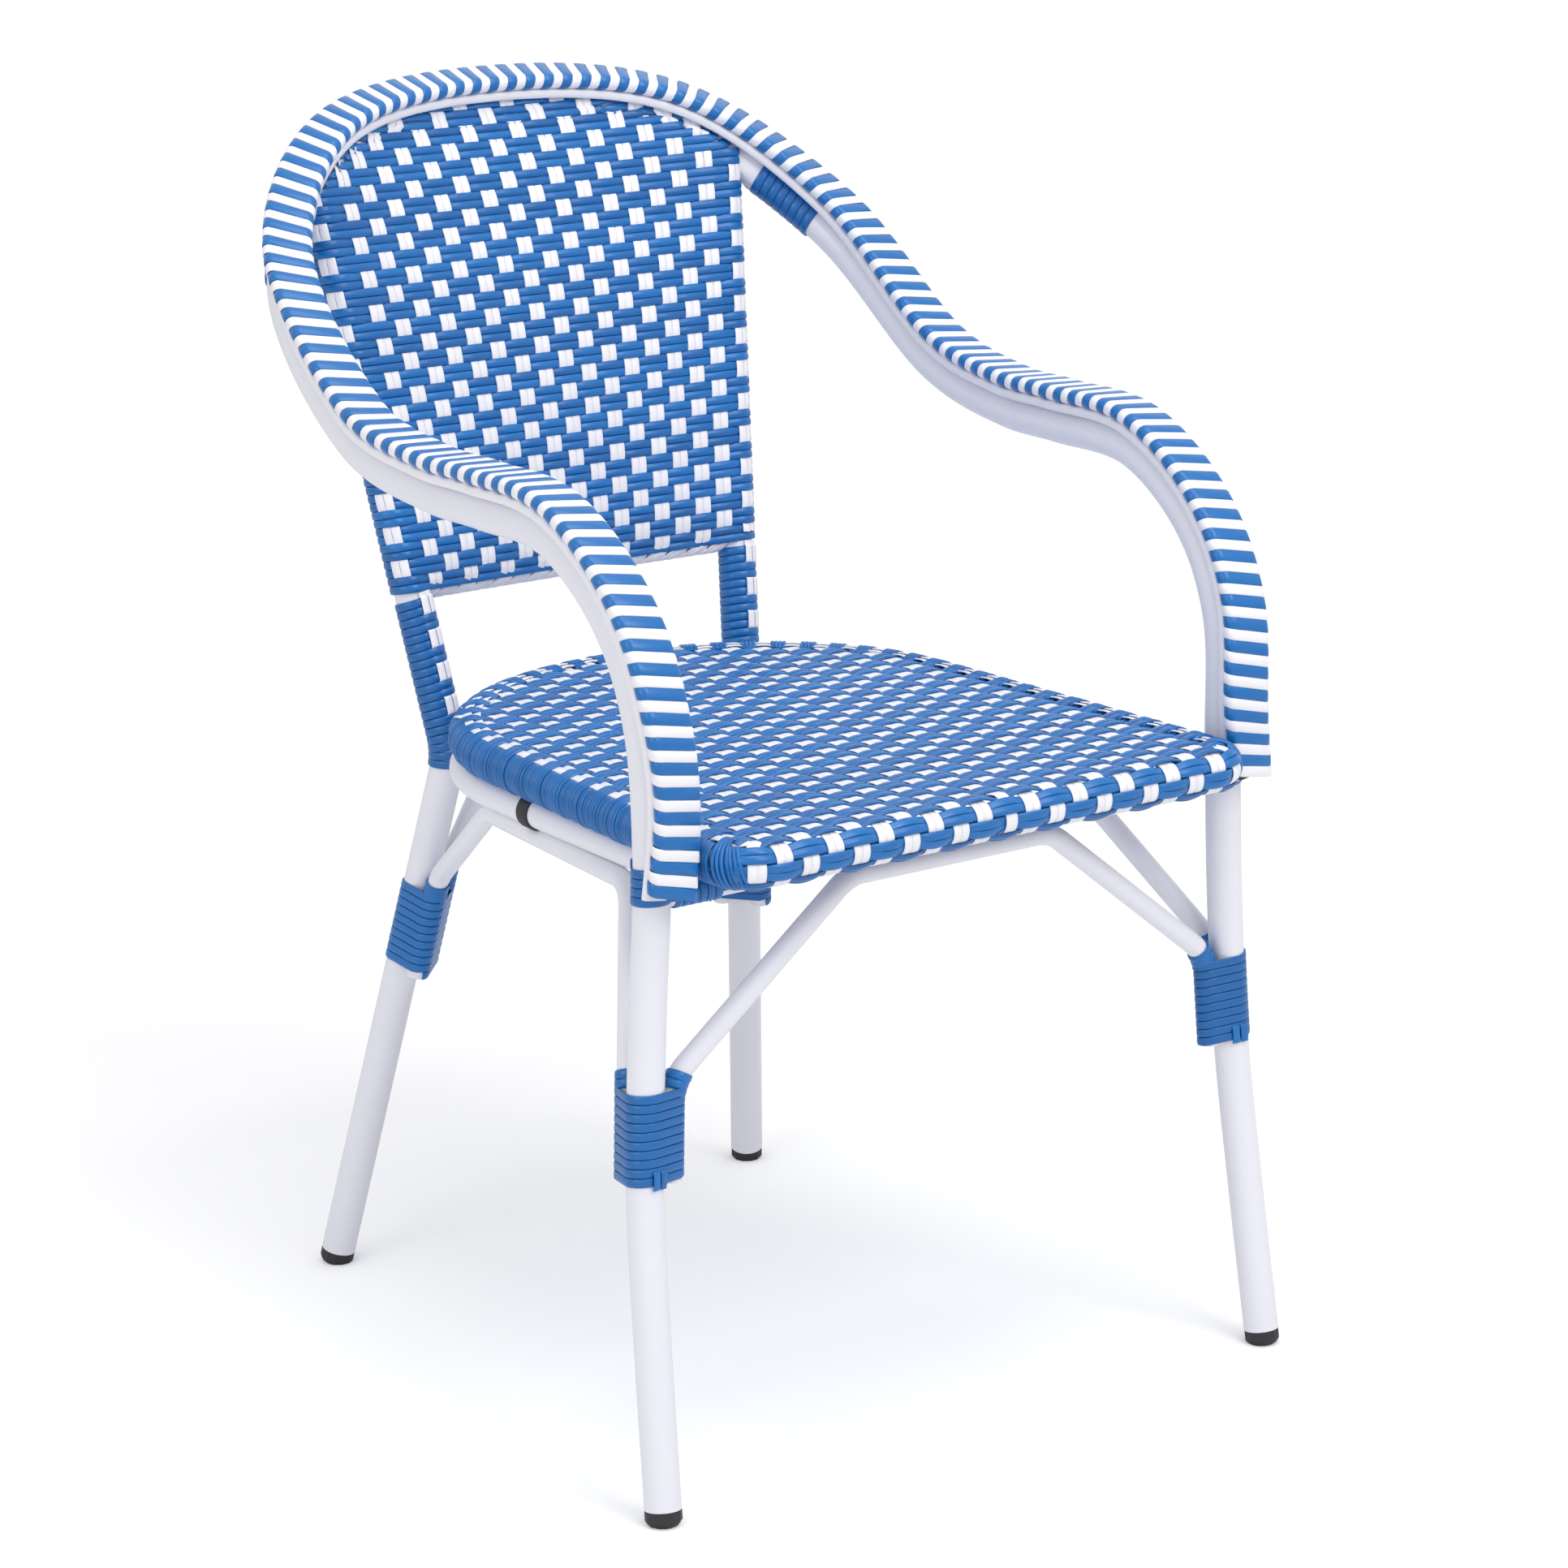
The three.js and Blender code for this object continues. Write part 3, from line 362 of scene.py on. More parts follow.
def sweeping_tree():
    """A group that sweeps the section along paths, which come in as a mesh of edges."""
    tree = bpy.data.node_groups.new("sweep a section along paths", "GeometryNodeTree")
    tree.interface.new_socket("Geometry", in_out="INPUT", socket_type="NodeSocketGeometry")
    for name, kind in TREE_INPUTS.items():
        tree.interface.new_socket(name, in_out="INPUT", socket_type=kind)
    tree.interface.new_socket("Geometry", in_out="OUTPUT", socket_type="NodeSocketGeometry")
    given = add_node(tree, "NodeGroupInput").outputs
    section = add_section(tree, given)
    paths = add_node(tree, "GeometryNodeMeshToCurve", None, None, {"Mesh": given["Geometry"]})
    facing = add_node(
        tree, "GeometryNodeInputNamedAttribute", {"data_type": "FLOAT_VECTOR"}, {"Name": "facing"}
    )
    turned = add_node(
        tree, "GeometryNodeSetCurveNormal", {"mode": "FREE"}, None,
        {"Curve": paths.outputs[0], "Normal": facing.outputs["Attribute"]},
    )
    swept = add_node(
        tree, "GeometryNodeCurveToMesh", None, {"Fill Caps": True},
        {"Curve": turned.outputs[0], "Profile Curve": section.outputs[0]},
    )
    smooth = add_node(
        tree, "GeometryNodeSetShadeSmooth", None, {"Shade Smooth": True}, {"Geometry": swept.outputs[0]}
    )
    whole = add_node(tree, "GeometryNodeRealizeInstances", None, None, {"Geometry": smooth.outputs[0]})
    finished = add_node(
        tree, "GeometryNodeSetMaterial", None, None,
        {"Geometry": whole.outputs[0], "Material": given["Finish"]},
    )
    add_node(tree, "NodeGroupOutput", None, None, {"Geometry": finished.outputs[0]})
    return tree


sweeping = sweeping_tree()
print("nodes in the sweeping tree:", len(sweeping.nodes))

# %% [markdown]
# A path is a list of points in millimetres, with the direction that the flat of the section faces.
# The function below writes many paths into one mesh of edges, runs the tree on it and keeps the result as
# a plain mesh. Each path gets a tone from a seeded generator, so no two lengths of strand look the same.

# %% Path helpers
def unit(vectors):
    """The same directions, each with length 1."""
    return vectors / np.linalg.norm(vectors, axis=-1, keepdims=True)


def directions(points):
    """Direction of travel at each point of a path."""
    return unit(np.gradient(points, axis=0))


def path_lengths(points):
    """Distance along a path from its start to each of its points."""
    return np.concatenate([[0], np.cumsum(np.linalg.norm(np.diff(points, axis=0), axis=1))])


def along_path(points, length):
    """Place on a path at distances from its start."""
    lengths = path_lengths(points)
    return np.stack([np.interp(length, lengths, points[:, k]) for k in range(3)], axis=-1)


def across_from(tangents, reference):
    """Part of a reference direction that stands square to a path, made a unit vector."""
    reference = np.broadcast_to(reference, tangents.shape)
    return unit(reference - tangents * np.sum(reference * tangents, axis=-1, keepdims=True))


# %% Paths to a mesh of edges
SEED = 7
random = np.random.default_rng(SEED)


def path_mesh(name, paths):
    """A mesh of bare edges along the paths, with a facing, a distance along and a tone at each point."""
    places, facings, lengths, tones, edges = [], [], [], [], []
    start = 0
    for points, reference in paths:
        points = np.asarray(points, float)
        count = len(points)
        places.append(points * MM)
        facings.append(across_from(directions(points), reference))
        lengths.append(path_lengths(points) * MM)
        tones.append(np.full(count, random.random()))
        edges.append(np.stack([np.arange(count - 1), np.arange(1, count)], axis=1) + start)
        start += count
    mesh = bpy.data.meshes.new(name)
    mesh.from_pydata(np.concatenate(places).tolist(), np.concatenate(edges).tolist(), [])
    for key, kind, values, field in (
        ("facing", "FLOAT_VECTOR", facings, "vector"),
        ("along", "FLOAT", lengths, "value"),
        ("tone", "FLOAT", tones, "value"),
    ):
        layer = mesh.attributes.new(key, kind, "POINT")
        layer.data.foreach_set(field, np.concatenate(values).astype(np.float32).ravel())
    return mesh


# %% Mesh of edges to a finished piece
STRAND_SIDES = 8
STRAND_SQUARENESS = 3.0
ROUND = 2.0
pieces = {}


def keep_piece(piece, replaced=()):
    """Puts a finished piece on the chair, hides the frame's nodes that it replaces and counts its faces."""
    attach(piece, "root")
    if replaced:
        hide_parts(*replaced)
    pieces[piece.name] = len(piece.data.polygons)
    return piece


def sweep(name, paths, thickness, width, finish, replaced=(), sides=STRAND_SIDES,
          squareness=STRAND_SQUARENESS):
    """Sweeps a section along the paths, makes a plain mesh of it and puts that on the chair."""
    source = bpy.data.objects.new(name + "_paths", path_mesh(name + "_paths", paths))
    bpy.context.scene.collection.objects.link(source)
    modifier = source.modifiers.new("sweep", "NODES")
    modifier.node_group = sweeping
    inputs = [item for item in sweeping.interface.items_tree if item.in_out == "INPUT"]
    sockets = {item.name: item.identifier for item in inputs}
    modifier[sockets["Thickness"]] = thickness * MM
    modifier[sockets["Width"]] = width * MM
    modifier[sockets["Sides"]] = sides
    modifier[sockets["Squareness"]] = squareness
    modifier[sockets["Finish"]] = finish
    shown = source.evaluated_get(bpy.context.evaluated_depsgraph_get())
    mesh = bpy.data.meshes.new_from_object(shown)
    mesh.name = name
    bpy.data.objects.remove(source)
    piece = bpy.data.objects.new(name, mesh)
    bpy.context.scene.collection.objects.link(piece)
    print(f"{name}: {len(paths)} paths, {len(mesh.polygons)} faces")
    return keep_piece(piece, replaced)


def bar(name, line, reference, diameter, sides):
    """Sweeps a round bar for a node of the frame, in powder coat, and puts it in the node's place."""
    sweep(f"{name}_coated", [(line, reference)], diameter, diameter, coat, [name],
          sides=sides, squareness=ROUND)


# %% [markdown]
# ## The hoop
# One long tube makes both front legs, the arms and the arch over the back. Its line is a smooth curve
# through fourteen places on each side, given as shares of its width, depth and height. The curve is a
# centripetal Catmull-Rom spline, which never overshoots between places that lie close together.

# %% The hoop's line
TUBE = 25
FOOT_HALF_SPAN = 263.6
FOOT_FORWARD = 300.1
ARCH_BACK = 295.1
HOOP_HEIGHT = 843.4
HOOP_SHARES = np.array([
    [1, 0, 0],
    [0.983, 0.029, 0.131],
    [0.965, 0.054, 0.262],
    [0.942, 0.062, 0.394],
    [0.923, 0.063, 0.525],
    [0.93, 0.076, 0.633],
    [0.933, 0.1285, 0.7],
    [0.935, 0.2386, 0.751],
    [0.936, 0.3777, 0.757],
    [0.943, 0.48, 0.7587],
    [0.955, 0.6316, 0.7817],
    [0.89, 0.8328, 0.8897],
    [0.558, 0.956, 0.978],
    [0, 1, 1],
])
SPLINE_STEPS = 200


def place(x, y, z):
    """Point of the chair's drawing, brought into the frame."""
    return np.stack(np.broadcast_arrays(x, np.asarray(y, float) + shift_y, z), axis=-1).astype(float)


def spline(corners):
    """A smooth curve through the corners, with the two ends carried on straight."""
    ends = [2 * corners[0] - corners[1], *corners, 2 * corners[-1] - corners[-2]]
    share = np.arange(SPLINE_STEPS)[:, None] / SPLINE_STEPS
    parts = []
    for a, b, c, d in zip(ends, ends[1:], ends[2:], ends[3:]):
        ab, bc, cd = (math.sqrt(np.linalg.norm(q - p)) for p, q in ((a, b), (b, c), (c, d)))
        leave = ((b - a) / ab - (c - a) / (ab + bc) + (c - b) / bc) * bc
        arrive = ((c - b) / bc - (d - b) / (bc + cd) + (d - c) / cd) * bc
        parts.append(
            b + leave * share + (3 * (c - b) - 2 * leave - arrive) * share ** 2
            + (2 * (b - c) + leave + arrive) * share ** 3
        )
    return np.concatenate([*parts, corners[-1:]])


right_half = place(
    HOOP_SHARES[:, 0] * FOOT_HALF_SPAN,
    HOOP_SHARES[:, 1] * (FOOT_FORWARD + ARCH_BACK) - FOOT_FORWARD,
    HOOP_SHARES[:, 2] * HOOP_HEIGHT,
)
hoop_points = spline(np.concatenate([right_half * MIRROR, right_half[-2::-1]]))
hoop_lengths = path_lengths(hoop_points)
HOOP_LENGTH = hoop_lengths[-1]
print(f"hoop length: {HOOP_LENGTH:.0f} mm")

# %% [markdown]
# Two questions come back for every piece that follows the hoop: where is the point at a length along it,
# and which way does the band face there. The band leans forward by twelve degrees from straight up, and
# stands square to the tube, so it faces forward on the legs and upward on the arms and the arch.

# %% Places along the hoop
BAND_LEAN = math.radians(12)
BAND_FACING = np.array([0.0, -math.sin(BAND_LEAN), math.cos(BAND_LEAN)])
PROBE = 2.0


def hoop_at(length):
    """Point at lengths along the hoop, from the left foot."""
    return np.stack([np.interp(length, hoop_lengths, hoop_points[:, k]) for k in range(3)], axis=-1)


def hoop_frame(length):
    """Point, direction, facing of the band and sideways direction at lengths along the hoop."""
    length = np.asarray(length, float)
    tangent = unit(hoop_at(length + PROBE) - hoop_at(length - PROBE))
    facing = across_from(tangent, BAND_FACING)
    return hoop_at(length), tangent, facing, np.cross(tangent, facing)


def length_at_height(line, height):
    """Distance from the start of a rising line to the place where it first reaches a height."""
    first = np.argmax(line[:, 2] >= height)
    between = slice(first - 1, first + 1)
    return float(np.interp(height, line[between, 2], path_lengths(line)[between]))


def leg_point(side, height):
    """Centre of a front leg at a height."""
    point = hoop_at(length_at_height(hoop_points, height))
    return point * (MIRROR if side > 0 else 1)


BAND_END_HEIGHT = 424
band_start = length_at_height(hoop_points, BAND_END_HEIGHT)
band_end = HOOP_LENGTH - band_start
print(f"the band starts {band_start:.0f} mm from the foot and is {band_end - band_start:.0f} mm long")

# %% [markdown]
# The tube itself is a plain round sweep. It starts just above the foot glides, where the coat shows a
# cut edge. Thirty-two sides keep its outline round in a close view.

# %% Hoop tube
TUBE_SIDES = 32
TUBE_STEP = 7
GLIDE_HEIGHT = 10.3
tube_start = length_at_height(hoop_points, GLIDE_HEIGHT)
tube_lengths = np.linspace(tube_start, HOOP_LENGTH - tube_start, int(HOOP_LENGTH / TUBE_STEP))
bar("hoop_tube", hoop_at(tube_lengths), BAND_FACING, TUBE, TUBE_SIDES)

# %% [markdown]
# ## Strip and striped band
# On the outer side of the hoop lies a white plastic strip, and on the strip a flat bar wound with one
# blue and one white strand, side by side. The strands go round as an even spiral, so each winding is one
# path of many turns, not a row of rings.
# The winder keeps the stripes closed on the outer face, so their pitch is measured there.

# %% White strip
STRIP_WIDTH = 30
STRIP_THICKNESS = 8.4
STRIP_INNER = 12.7
STRIP_OVERRUN = 3
STRIP_STEPS = 360
STRIP_SIDES = 28
STRIP_SQUARENESS = 4
strip_lengths = np.linspace(band_start - STRIP_OVERRUN, band_end + STRIP_OVERRUN, STRIP_STEPS)
point, tangent, facing, aside = hoop_frame(strip_lengths)
strip_path = point + facing * (STRIP_INNER + STRIP_THICKNESS / 2)
sweep(
    "white_strip", [(strip_path, facing)], STRIP_THICKNESS, STRIP_WIDTH, white_strip,
    ["hoop_strip"], STRIP_SIDES, STRIP_SQUARENESS,
)

# %% Places of the stripes
BAND_WIDTH = 35
BAND_THICKNESS = 11.3
BAND_INNER = STRIP_INNER + STRIP_THICKNESS
BAND_STRAND = 1.3
BAND_CORNER = 4.3
STRIPES = 121
BLUE_SHARE = 0.52
WHITE_LIFT = 0.12
GRID_STEPS = 1500

stripe_grid = np.linspace(band_start, band_end, GRID_STEPS)
point, tangent, facing, aside = hoop_frame(stripe_grid)
outer_lengths = path_lengths(point + facing * (BAND_INNER + BAND_THICKNESS))
stripe_pitch = outer_lengths[-1] / STRIPES
print(f"one blue and one white stripe: {stripe_pitch:.1f} mm on the outer face")


# %% One turn round the band
CORNER_TURNS = np.radians([0, 30, 60, 90])


def band_turn():
    """One turn round the band: outward and sideways place, and the outward direction, at each point."""
    high = (BAND_THICKNESS - BAND_STRAND) / 2
    wide = (BAND_WIDTH - BAND_STRAND) / 2
    rows = [(-high, 0, -1, 0)]
    for across, along in ((-1, 1), (1, 1), (1, -1), (-1, -1)):
        for turn in CORNER_TURNS:
            if across * along > 0:
                turn = QUARTER - turn
            out, side = across * math.cos(turn), along * math.sin(turn)
            rows.append((
                across * (high - BAND_CORNER) + BAND_CORNER * out,
                along * (wide - BAND_CORNER) + BAND_CORNER * side,
                out, side,
            ))
        if (across, along) == (1, 1):
            rows.append((high, 0, 1, 0))
    return np.array(rows)


def band_path(offset, lift):
    """Path of one strand round the whole band, from an offset along it and lifted off the bar."""
    turn = band_turn()
    around = path_lengths(np.concatenate([turn[:, :2], turn[:1, :2]]))
    share = around[:-1] / around[-1] - 0.5
    steps = offset + stripe_pitch * (np.arange(STRIPES)[:, None] + share)
    point, tangent, facing, aside = hoop_frame(np.interp(steps.ravel(), outer_lengths, stripe_grid))
    out, side, facing_out, facing_side = (np.tile(turn[:, k], STRIPES)[:, None] for k in range(4))
    middle = BAND_INNER + BAND_THICKNESS / 2
    outward = facing * facing_out + aside * facing_side
    return point + facing * (middle + out) + aside * side + outward * lift, outward


# %% Core bar and the two strands of the band
CORE_INSET = 2
CORE_STEPS = 300
CORE_SIDES = 20
CORE_SQUARENESS = 5
BAND_SQUARENESS = 3.5

core_lengths = np.linspace(band_start + CORE_INSET, band_end - CORE_INSET, CORE_STEPS)
point, tangent, facing, aside = hoop_frame(core_lengths)
# The core bar wears the painted-shade finish, so the gaps between the turns look shadowed.
sweep(
    "band_core_bar", [(point + facing * (BAND_INNER + BAND_THICKNESS / 2), facing)],
    BAND_THICKNESS - 2 * BAND_STRAND, BAND_WIDTH - 2 * BAND_STRAND, core_in_painted_shade,
    sides=CORE_SIDES, squareness=CORE_SQUARENESS,
)
blue_width = stripe_pitch * BLUE_SHARE
white_width = stripe_pitch - blue_width
sweep(
    "band_blue_strand", [band_path(blue_width / 2, 0.0)], BAND_STRAND, blue_width, blue_strand,
    ["striped_band"], squareness=BAND_SQUARENESS,
)
sweep(
    "band_white_strand", [band_path(blue_width + white_width / 2, WHITE_LIFT)], BAND_STRAND, white_width,
    white_strand, squareness=BAND_SQUARENESS,
)

# %% [markdown]
# ## Rear legs and uprights
# Each rear leg leans in to the seat, bends there and goes on as the reclined upright of the back.
# A bend in tube is an arc that touches both straights, so one function rounds every corner of a path.

# %% Rear legs
REAR_FOOT = (191.6, 235.1, 0)
REAR_BEND = (131, 156, 404)
UPRIGHT_TOP_HALF_SPAN = 178
UPRIGHT_TOP_FORWARD = 5
REAR_BEND_RADIUS = 60
SHOULDER = 24
BEND_STEPS = 14


def rounded(corners, radius, steps=BEND_STEPS):
    """Line through the corners, with an arc of a radius at each inner one."""
    points = [corners[0]]
    for a, b, c in zip(corners, corners[1:], corners[2:]):
        before, after = unit(b - a), unit(c - b)
        angle = math.acos(np.clip(np.dot(before, after), -1, 1))
        start = b - before * radius * math.tan(angle / 2)
        axis = unit(np.cross(before, after))
        centre = start + radius * np.cross(axis, before)
        arm = start - centre
        for turn in np.linspace(0, angle, steps):
            points.append(centre + arm * math.cos(turn) + np.cross(axis, arm) * math.sin(turn))
    return np.array([*points, corners[-1]])


above_legs = hoop_points[:, 2] > BAND_END_HEIGHT
arch_first = np.argmax(above_legs & (hoop_points[:, 0] > -UPRIGHT_TOP_HALF_SPAN))
arch_joint = float(hoop_lengths[arch_first])
arch_point = hoop_at(arch_joint) * MIRROR
foot = place(*REAR_FOOT)
bend = place(*REAR_BEND)
top = arch_point - BACK * UPRIGHT_TOP_FORWARD
rise = unit(top - bend)
panel_facing = unit(np.cross(rise, RIGHT))
rear_corners = [foot + unit(bend - foot) * GLIDE_HEIGHT, bend, top - rise * SHOULDER, arch_point]
rear_line = rounded(rear_corners, REAR_BEND_RADIUS)
for name, side in SIDES.items():
    bar(f"rear_leg_{name}", rear_line * (MIRROR if side < 0 else 1), BACK, TUBE, TUBE_SIDES)

# %% [markdown]
# ## Seat frame and braces
# Under the seat a bowed side rail runs round the back, and a straight rail joins the front legs.
# Four arched braces stiffen the legs. All are round bars along rounded or curved lines.

# %% Seat rails and stubs
RAIL_HEIGHT = 415
RAIL = 22
RAIL_BACK = 160
RAIL_HALF_WIDTH = 186
RAIL_FRONT_HALF_WIDTH = 192
RAIL_SQUARENESS = 2.2
FRONT_RAIL = 18
FRONT_RAIL_HEIGHT = 413.5
FRONT_RAIL_FORWARD = 250
STUB = 14
STUB_DROP = 7.5
STUB_ANGLE = math.radians(55)
BEND_POINTS = 40
STRAIGHT_POINTS = 8
FRONT_RAIL_POINTS = 12
STUB_POINTS = 4
RAIL_SIDES = 24
STUB_SIDES = 20


def rail_curve(angle):
    """Half width and depth of the side rail's bow at an angle from its widest place."""
    power = 2 / RAIL_SQUARENESS
    return RAIL_HALF_WIDTH * np.cos(angle) ** power, RAIL_BACK * np.sin(angle) ** power


angles = np.linspace(0, QUARTER, BEND_POINTS)
rail_x, rail_y = rail_curve(angles[:-1])
front_x = np.linspace(RAIL_FRONT_HALF_WIDTH, RAIL_HALF_WIDTH, STRAIGHT_POINTS)[:-1]
front_y = np.linspace(-FRONT_RAIL_FORWARD + FRONT_RAIL / 2, 0, STRAIGHT_POINTS)[:-1]
half = place(np.concatenate([front_x, rail_x]), np.concatenate([front_y, rail_y]), RAIL_HEIGHT)
side_rail = np.concatenate([half, [place(0, RAIL_BACK, RAIL_HEIGHT)], half[::-1] * MIRROR])
bar("seat_side_rail", side_rail, UP, RAIL, RAIL_SIDES)

front_rail_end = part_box("seat_front_rail")[1].x / MM
front_rail_x = np.linspace(-front_rail_end, front_rail_end, FRONT_RAIL_POINTS)
front_rail = place(front_rail_x, -FRONT_RAIL_FORWARD, FRONT_RAIL_HEIGHT)
bar("seat_front_rail", front_rail, UP, FRONT_RAIL, RAIL_SIDES)

stub_x, stub_y = rail_curve(STUB_ANGLE)
for name, side in SIDES.items():
    ends = place([stub_x * side, bend[0] * side], [stub_y, REAR_BEND[1]], RAIL_HEIGHT - STUB_DROP)
    line = ends[0] + np.linspace(0, 1, STUB_POINTS)[:, None] * (ends[1] - ends[0])
    bar(f"rear_stub_{name}", line, UP, STUB, STUB_SIDES)

# %% Braces
BRACE = 15
BRACE_BEND_RADIUS = 34
FRONT_WRAP_HEIGHT = 224
REAR_WRAP_HEIGHT = 240
FRONT_BRACE_BEND = 291
FRONT_BRACE_TOP = (86, 405)
REAR_BRACE_BEND = 316
REAR_BRACE_TOP = (90, 158, 396.5)
SIDE_BRACE_BEND = 296
SIDE_BRACE_FRONT_TOP = (195, -167)
SIDE_BRACE_REAR_TOP = (178, 30)
SIDE_BRACE_TOP_HEIGHT = 396.4
BRACE_GAP = 0.3
beside = TUBE / 2 + BRACE / 2 + BRACE_GAP


def rear_leg_at(height):
    """Centre of the right rear leg at a height."""
    return foot + (bend - foot) * (height - foot[2]) / (bend[2] - foot[2])


def mirrored_brace(points):
    """The right half of a brace's corners, followed by the left half."""
    return [*points, *(p * MIRROR for p in reversed(points))]


front_low, front_high = leg_point(1, FRONT_WRAP_HEIGHT), leg_point(1, FRONT_BRACE_BEND)
front_top = np.array([FRONT_BRACE_TOP[0], front_high[1], FRONT_BRACE_TOP[1]])
rear_rise = unit(bend - foot)
inward = -across_from(rear_rise, RIGHT)
brace_lines = {
    "front": mirrored_brace([front_low - RIGHT * beside, front_high - RIGHT * beside, front_top]),
    "rear": mirrored_brace([
        rear_leg_at(REAR_WRAP_HEIGHT) + inward * beside, rear_leg_at(REAR_BRACE_BEND) + inward * beside,
        place(*REAR_BRACE_TOP),
    ]),
}
for name, side in SIDES.items():
    low, high = leg_point(1, FRONT_WRAP_HEIGHT), leg_point(1, SIDE_BRACE_BEND)
    behind = across_from(unit(high - low), BACK)
    ahead = -across_from(rear_rise, BACK)
    corners = [
        low + behind * beside, high + behind * beside,
        place(*SIDE_BRACE_FRONT_TOP, SIDE_BRACE_TOP_HEIGHT),
        place(*SIDE_BRACE_REAR_TOP, SIDE_BRACE_TOP_HEIGHT),
        rear_leg_at(REAR_BRACE_BEND) + ahead * beside, rear_leg_at(REAR_WRAP_HEIGHT) + ahead * beside,
    ]
    brace_lines[name] = [c * (MIRROR if side < 0 else 1) for c in corners]
braces = {name: rounded(corners, BRACE_BEND_RADIUS) for name, corners in brace_lines.items()}
for name, line in braces.items():
    bar(f"brace_{name}", line, BACK if name in ("front", "rear") else RIGHT, BRACE, RAIL_SIDES)

# %% [markdown]
# ## The woven back
# The back is a basket weave. Eighteen white double strands run up it, and pairs of blue strands run
# across, over one and under the next, with each row shifted by one from the row below. The sheet hangs
# between the uprights: flat at mid-height, and bowed to the rear with the lower rail and with the arch.

# %% The sheet of the back
STRAND = 1.3
STRAND_WIDTH = 6.3
WEFT_THICKNESS = 2.1
WEFT_SQUARENESS = 2.5
COLUMNS = 18
ROW_PITCH = 12.3
WEFT_SWAY = 0.95
WARP_SWAY = 0.7
BACK_RAIL = 18
BACK_RAIL_HEIGHT = 525.2
BACK_RAIL_BOW = 16
SHEET_FORWARD = 13.95
RAIL_FORWARD = 10.6
RAIL_BLEND = 26
RAIL_BLEND_START = 4
RAIL_EDGE_SHARPNESS = 6
FLATNESS = 0.55
ARCH_LOWEST = BAND_END_HEIGHT + 200
ARCH_HALF_REACH = 200
ARCH_BOW_POWER = 4
EDGE_BOW_POWER = 8

on_arch = (hoop_points[:, 2] > ARCH_LOWEST) & (np.abs(hoop_points[:, 0]) < ARCH_HALF_REACH)
arch_points = hoop_points[on_arch]
arch_bow = (arch_points - bend) @ panel_facing
arch_flat = arch_points - arch_bow[:, None] * panel_facing


def upright_at(height):
    """Place of the right upright's centre at heights, with x as its half span."""
    share = (np.asarray(height, float) - bend[2]) / (top[2] - bend[2])
    return bend + (top - bend) * share[..., None]


def flat_sheet(x, height):
    """Point of the uprights' plane at x and a height, and how far the sheet bows behind it."""
    flat = upright_at(height)
    s = x / flat[..., 0]
    flat[..., 0] = x
    top_height = np.interp(x, arch_flat[:, 0], arch_flat[:, 2])
    share = np.clip((height - BACK_RAIL_HEIGHT) / (top_height - BACK_RAIL_HEIGHT), 0, 1)
    rail_bow = BACK_RAIL_BOW * np.clip(1 - s ** 2, 0, 1) * (1 - share) ** 2
    top_bow = np.interp(x, arch_flat[:, 0], arch_bow) * np.clip(1 - s ** EDGE_BOW_POWER, 0, 1)
    return flat, rail_bow + top_bow * share ** ARCH_BOW_POWER


def flattened(wave, flatness=FLATNESS):
    """A wave with broad crests and steep steps, as a flat strand makes."""
    return np.sign(wave) * np.abs(wave) ** flatness


print("arch bow behind the uprights:", round(float(arch_bow.max()), 1), "mm")

# %% [markdown]
# Where the sheet reaches the arch it goes on round the tube until it meets the white strip. So a point
# of the flat sheet that lies past the arch's centre line is rolled round the tube by that distance.
# The strip's two sides are where the weave stops, in front and behind.

# %% The sheet rolled round the arch
STRIP_MARGIN = math.radians(22)
ARCH_STRIDE = 4
_, arch_tangent, arch_band, _ = hoop_frame(hoop_lengths[on_arch])
arch_front = across_from(arch_tangent, -panel_facing)
arch_out = np.cross(arch_front, arch_tangent)
strip_angle = np.arctan2(np.sum(arch_band * arch_out, axis=1), np.sum(arch_band * arch_front, axis=1))
flat_out = unit(np.cross(-panel_facing, directions(arch_flat)))


def sheet(x, height, lift):
    """Points, facings and which of them show, at x and a height, lifted towards the sitter."""
    x, height, lift = (np.array(v, float) for v in np.broadcast_arrays(x, height, lift))
    flat, bow = flat_sheet(x, height)
    apart = np.linalg.norm(flat[:, None, :] - arch_flat[None, ::ARCH_STRIDE], axis=2)
    near = np.argmin(apart, axis=1) * ARCH_STRIDE
    beyond = np.sum((flat - arch_flat[near]) * flat_out[near], axis=1)
    above_rail = np.clip((height - BACK_RAIL_HEIGHT + RAIL_BLEND_START) / RAIL_BLEND, 0, 1)
    inside = np.clip((1 - np.abs(x) / upright_at(height)[..., 0]) * RAIL_EDGE_SHARPNESS, 0, 1)
    on_rail = inside * (1 - above_rail) ** 2
    forward = SHEET_FORWARD - (SHEET_FORWARD - RAIL_FORWARD) * on_rail
    slope = (flat_sheet(x + PROBE, height)[1] - flat_sheet(x - PROBE, height)[1]) / (2 * PROBE)
    level = unit(RIGHT * slope[:, None] - panel_facing)
    points = flat + panel_facing * (bow - forward)[:, None] + level * lift[:, None]
    angle = np.clip(beyond, 0, None) / SHEET_FORWARD
    turned = arch_front[near] * np.cos(angle)[:, None] + arch_out[near] * np.sin(angle)[:, None]
    rolled = arch_points[near] + turned * (SHEET_FORWARD + lift)[:, None]
    past = beyond > 0
    points[past] = rolled[past]
    facings = np.where(past[:, None], turned, level)
    return points, facings, angle < strip_angle[near] - STRIP_MARGIN


print(f"the strip's side is {math.degrees(float(strip_angle.min())):.0f} degrees round the arch, or more")

# %% [markdown]
# The pairs of blue strand go round each upright and end behind it. The outermost white column lies on the
# upright itself, so the wave of over and under is stretched there to meet it. Where the sheet is already
# past the upright's top, a row ends at the strip instead.

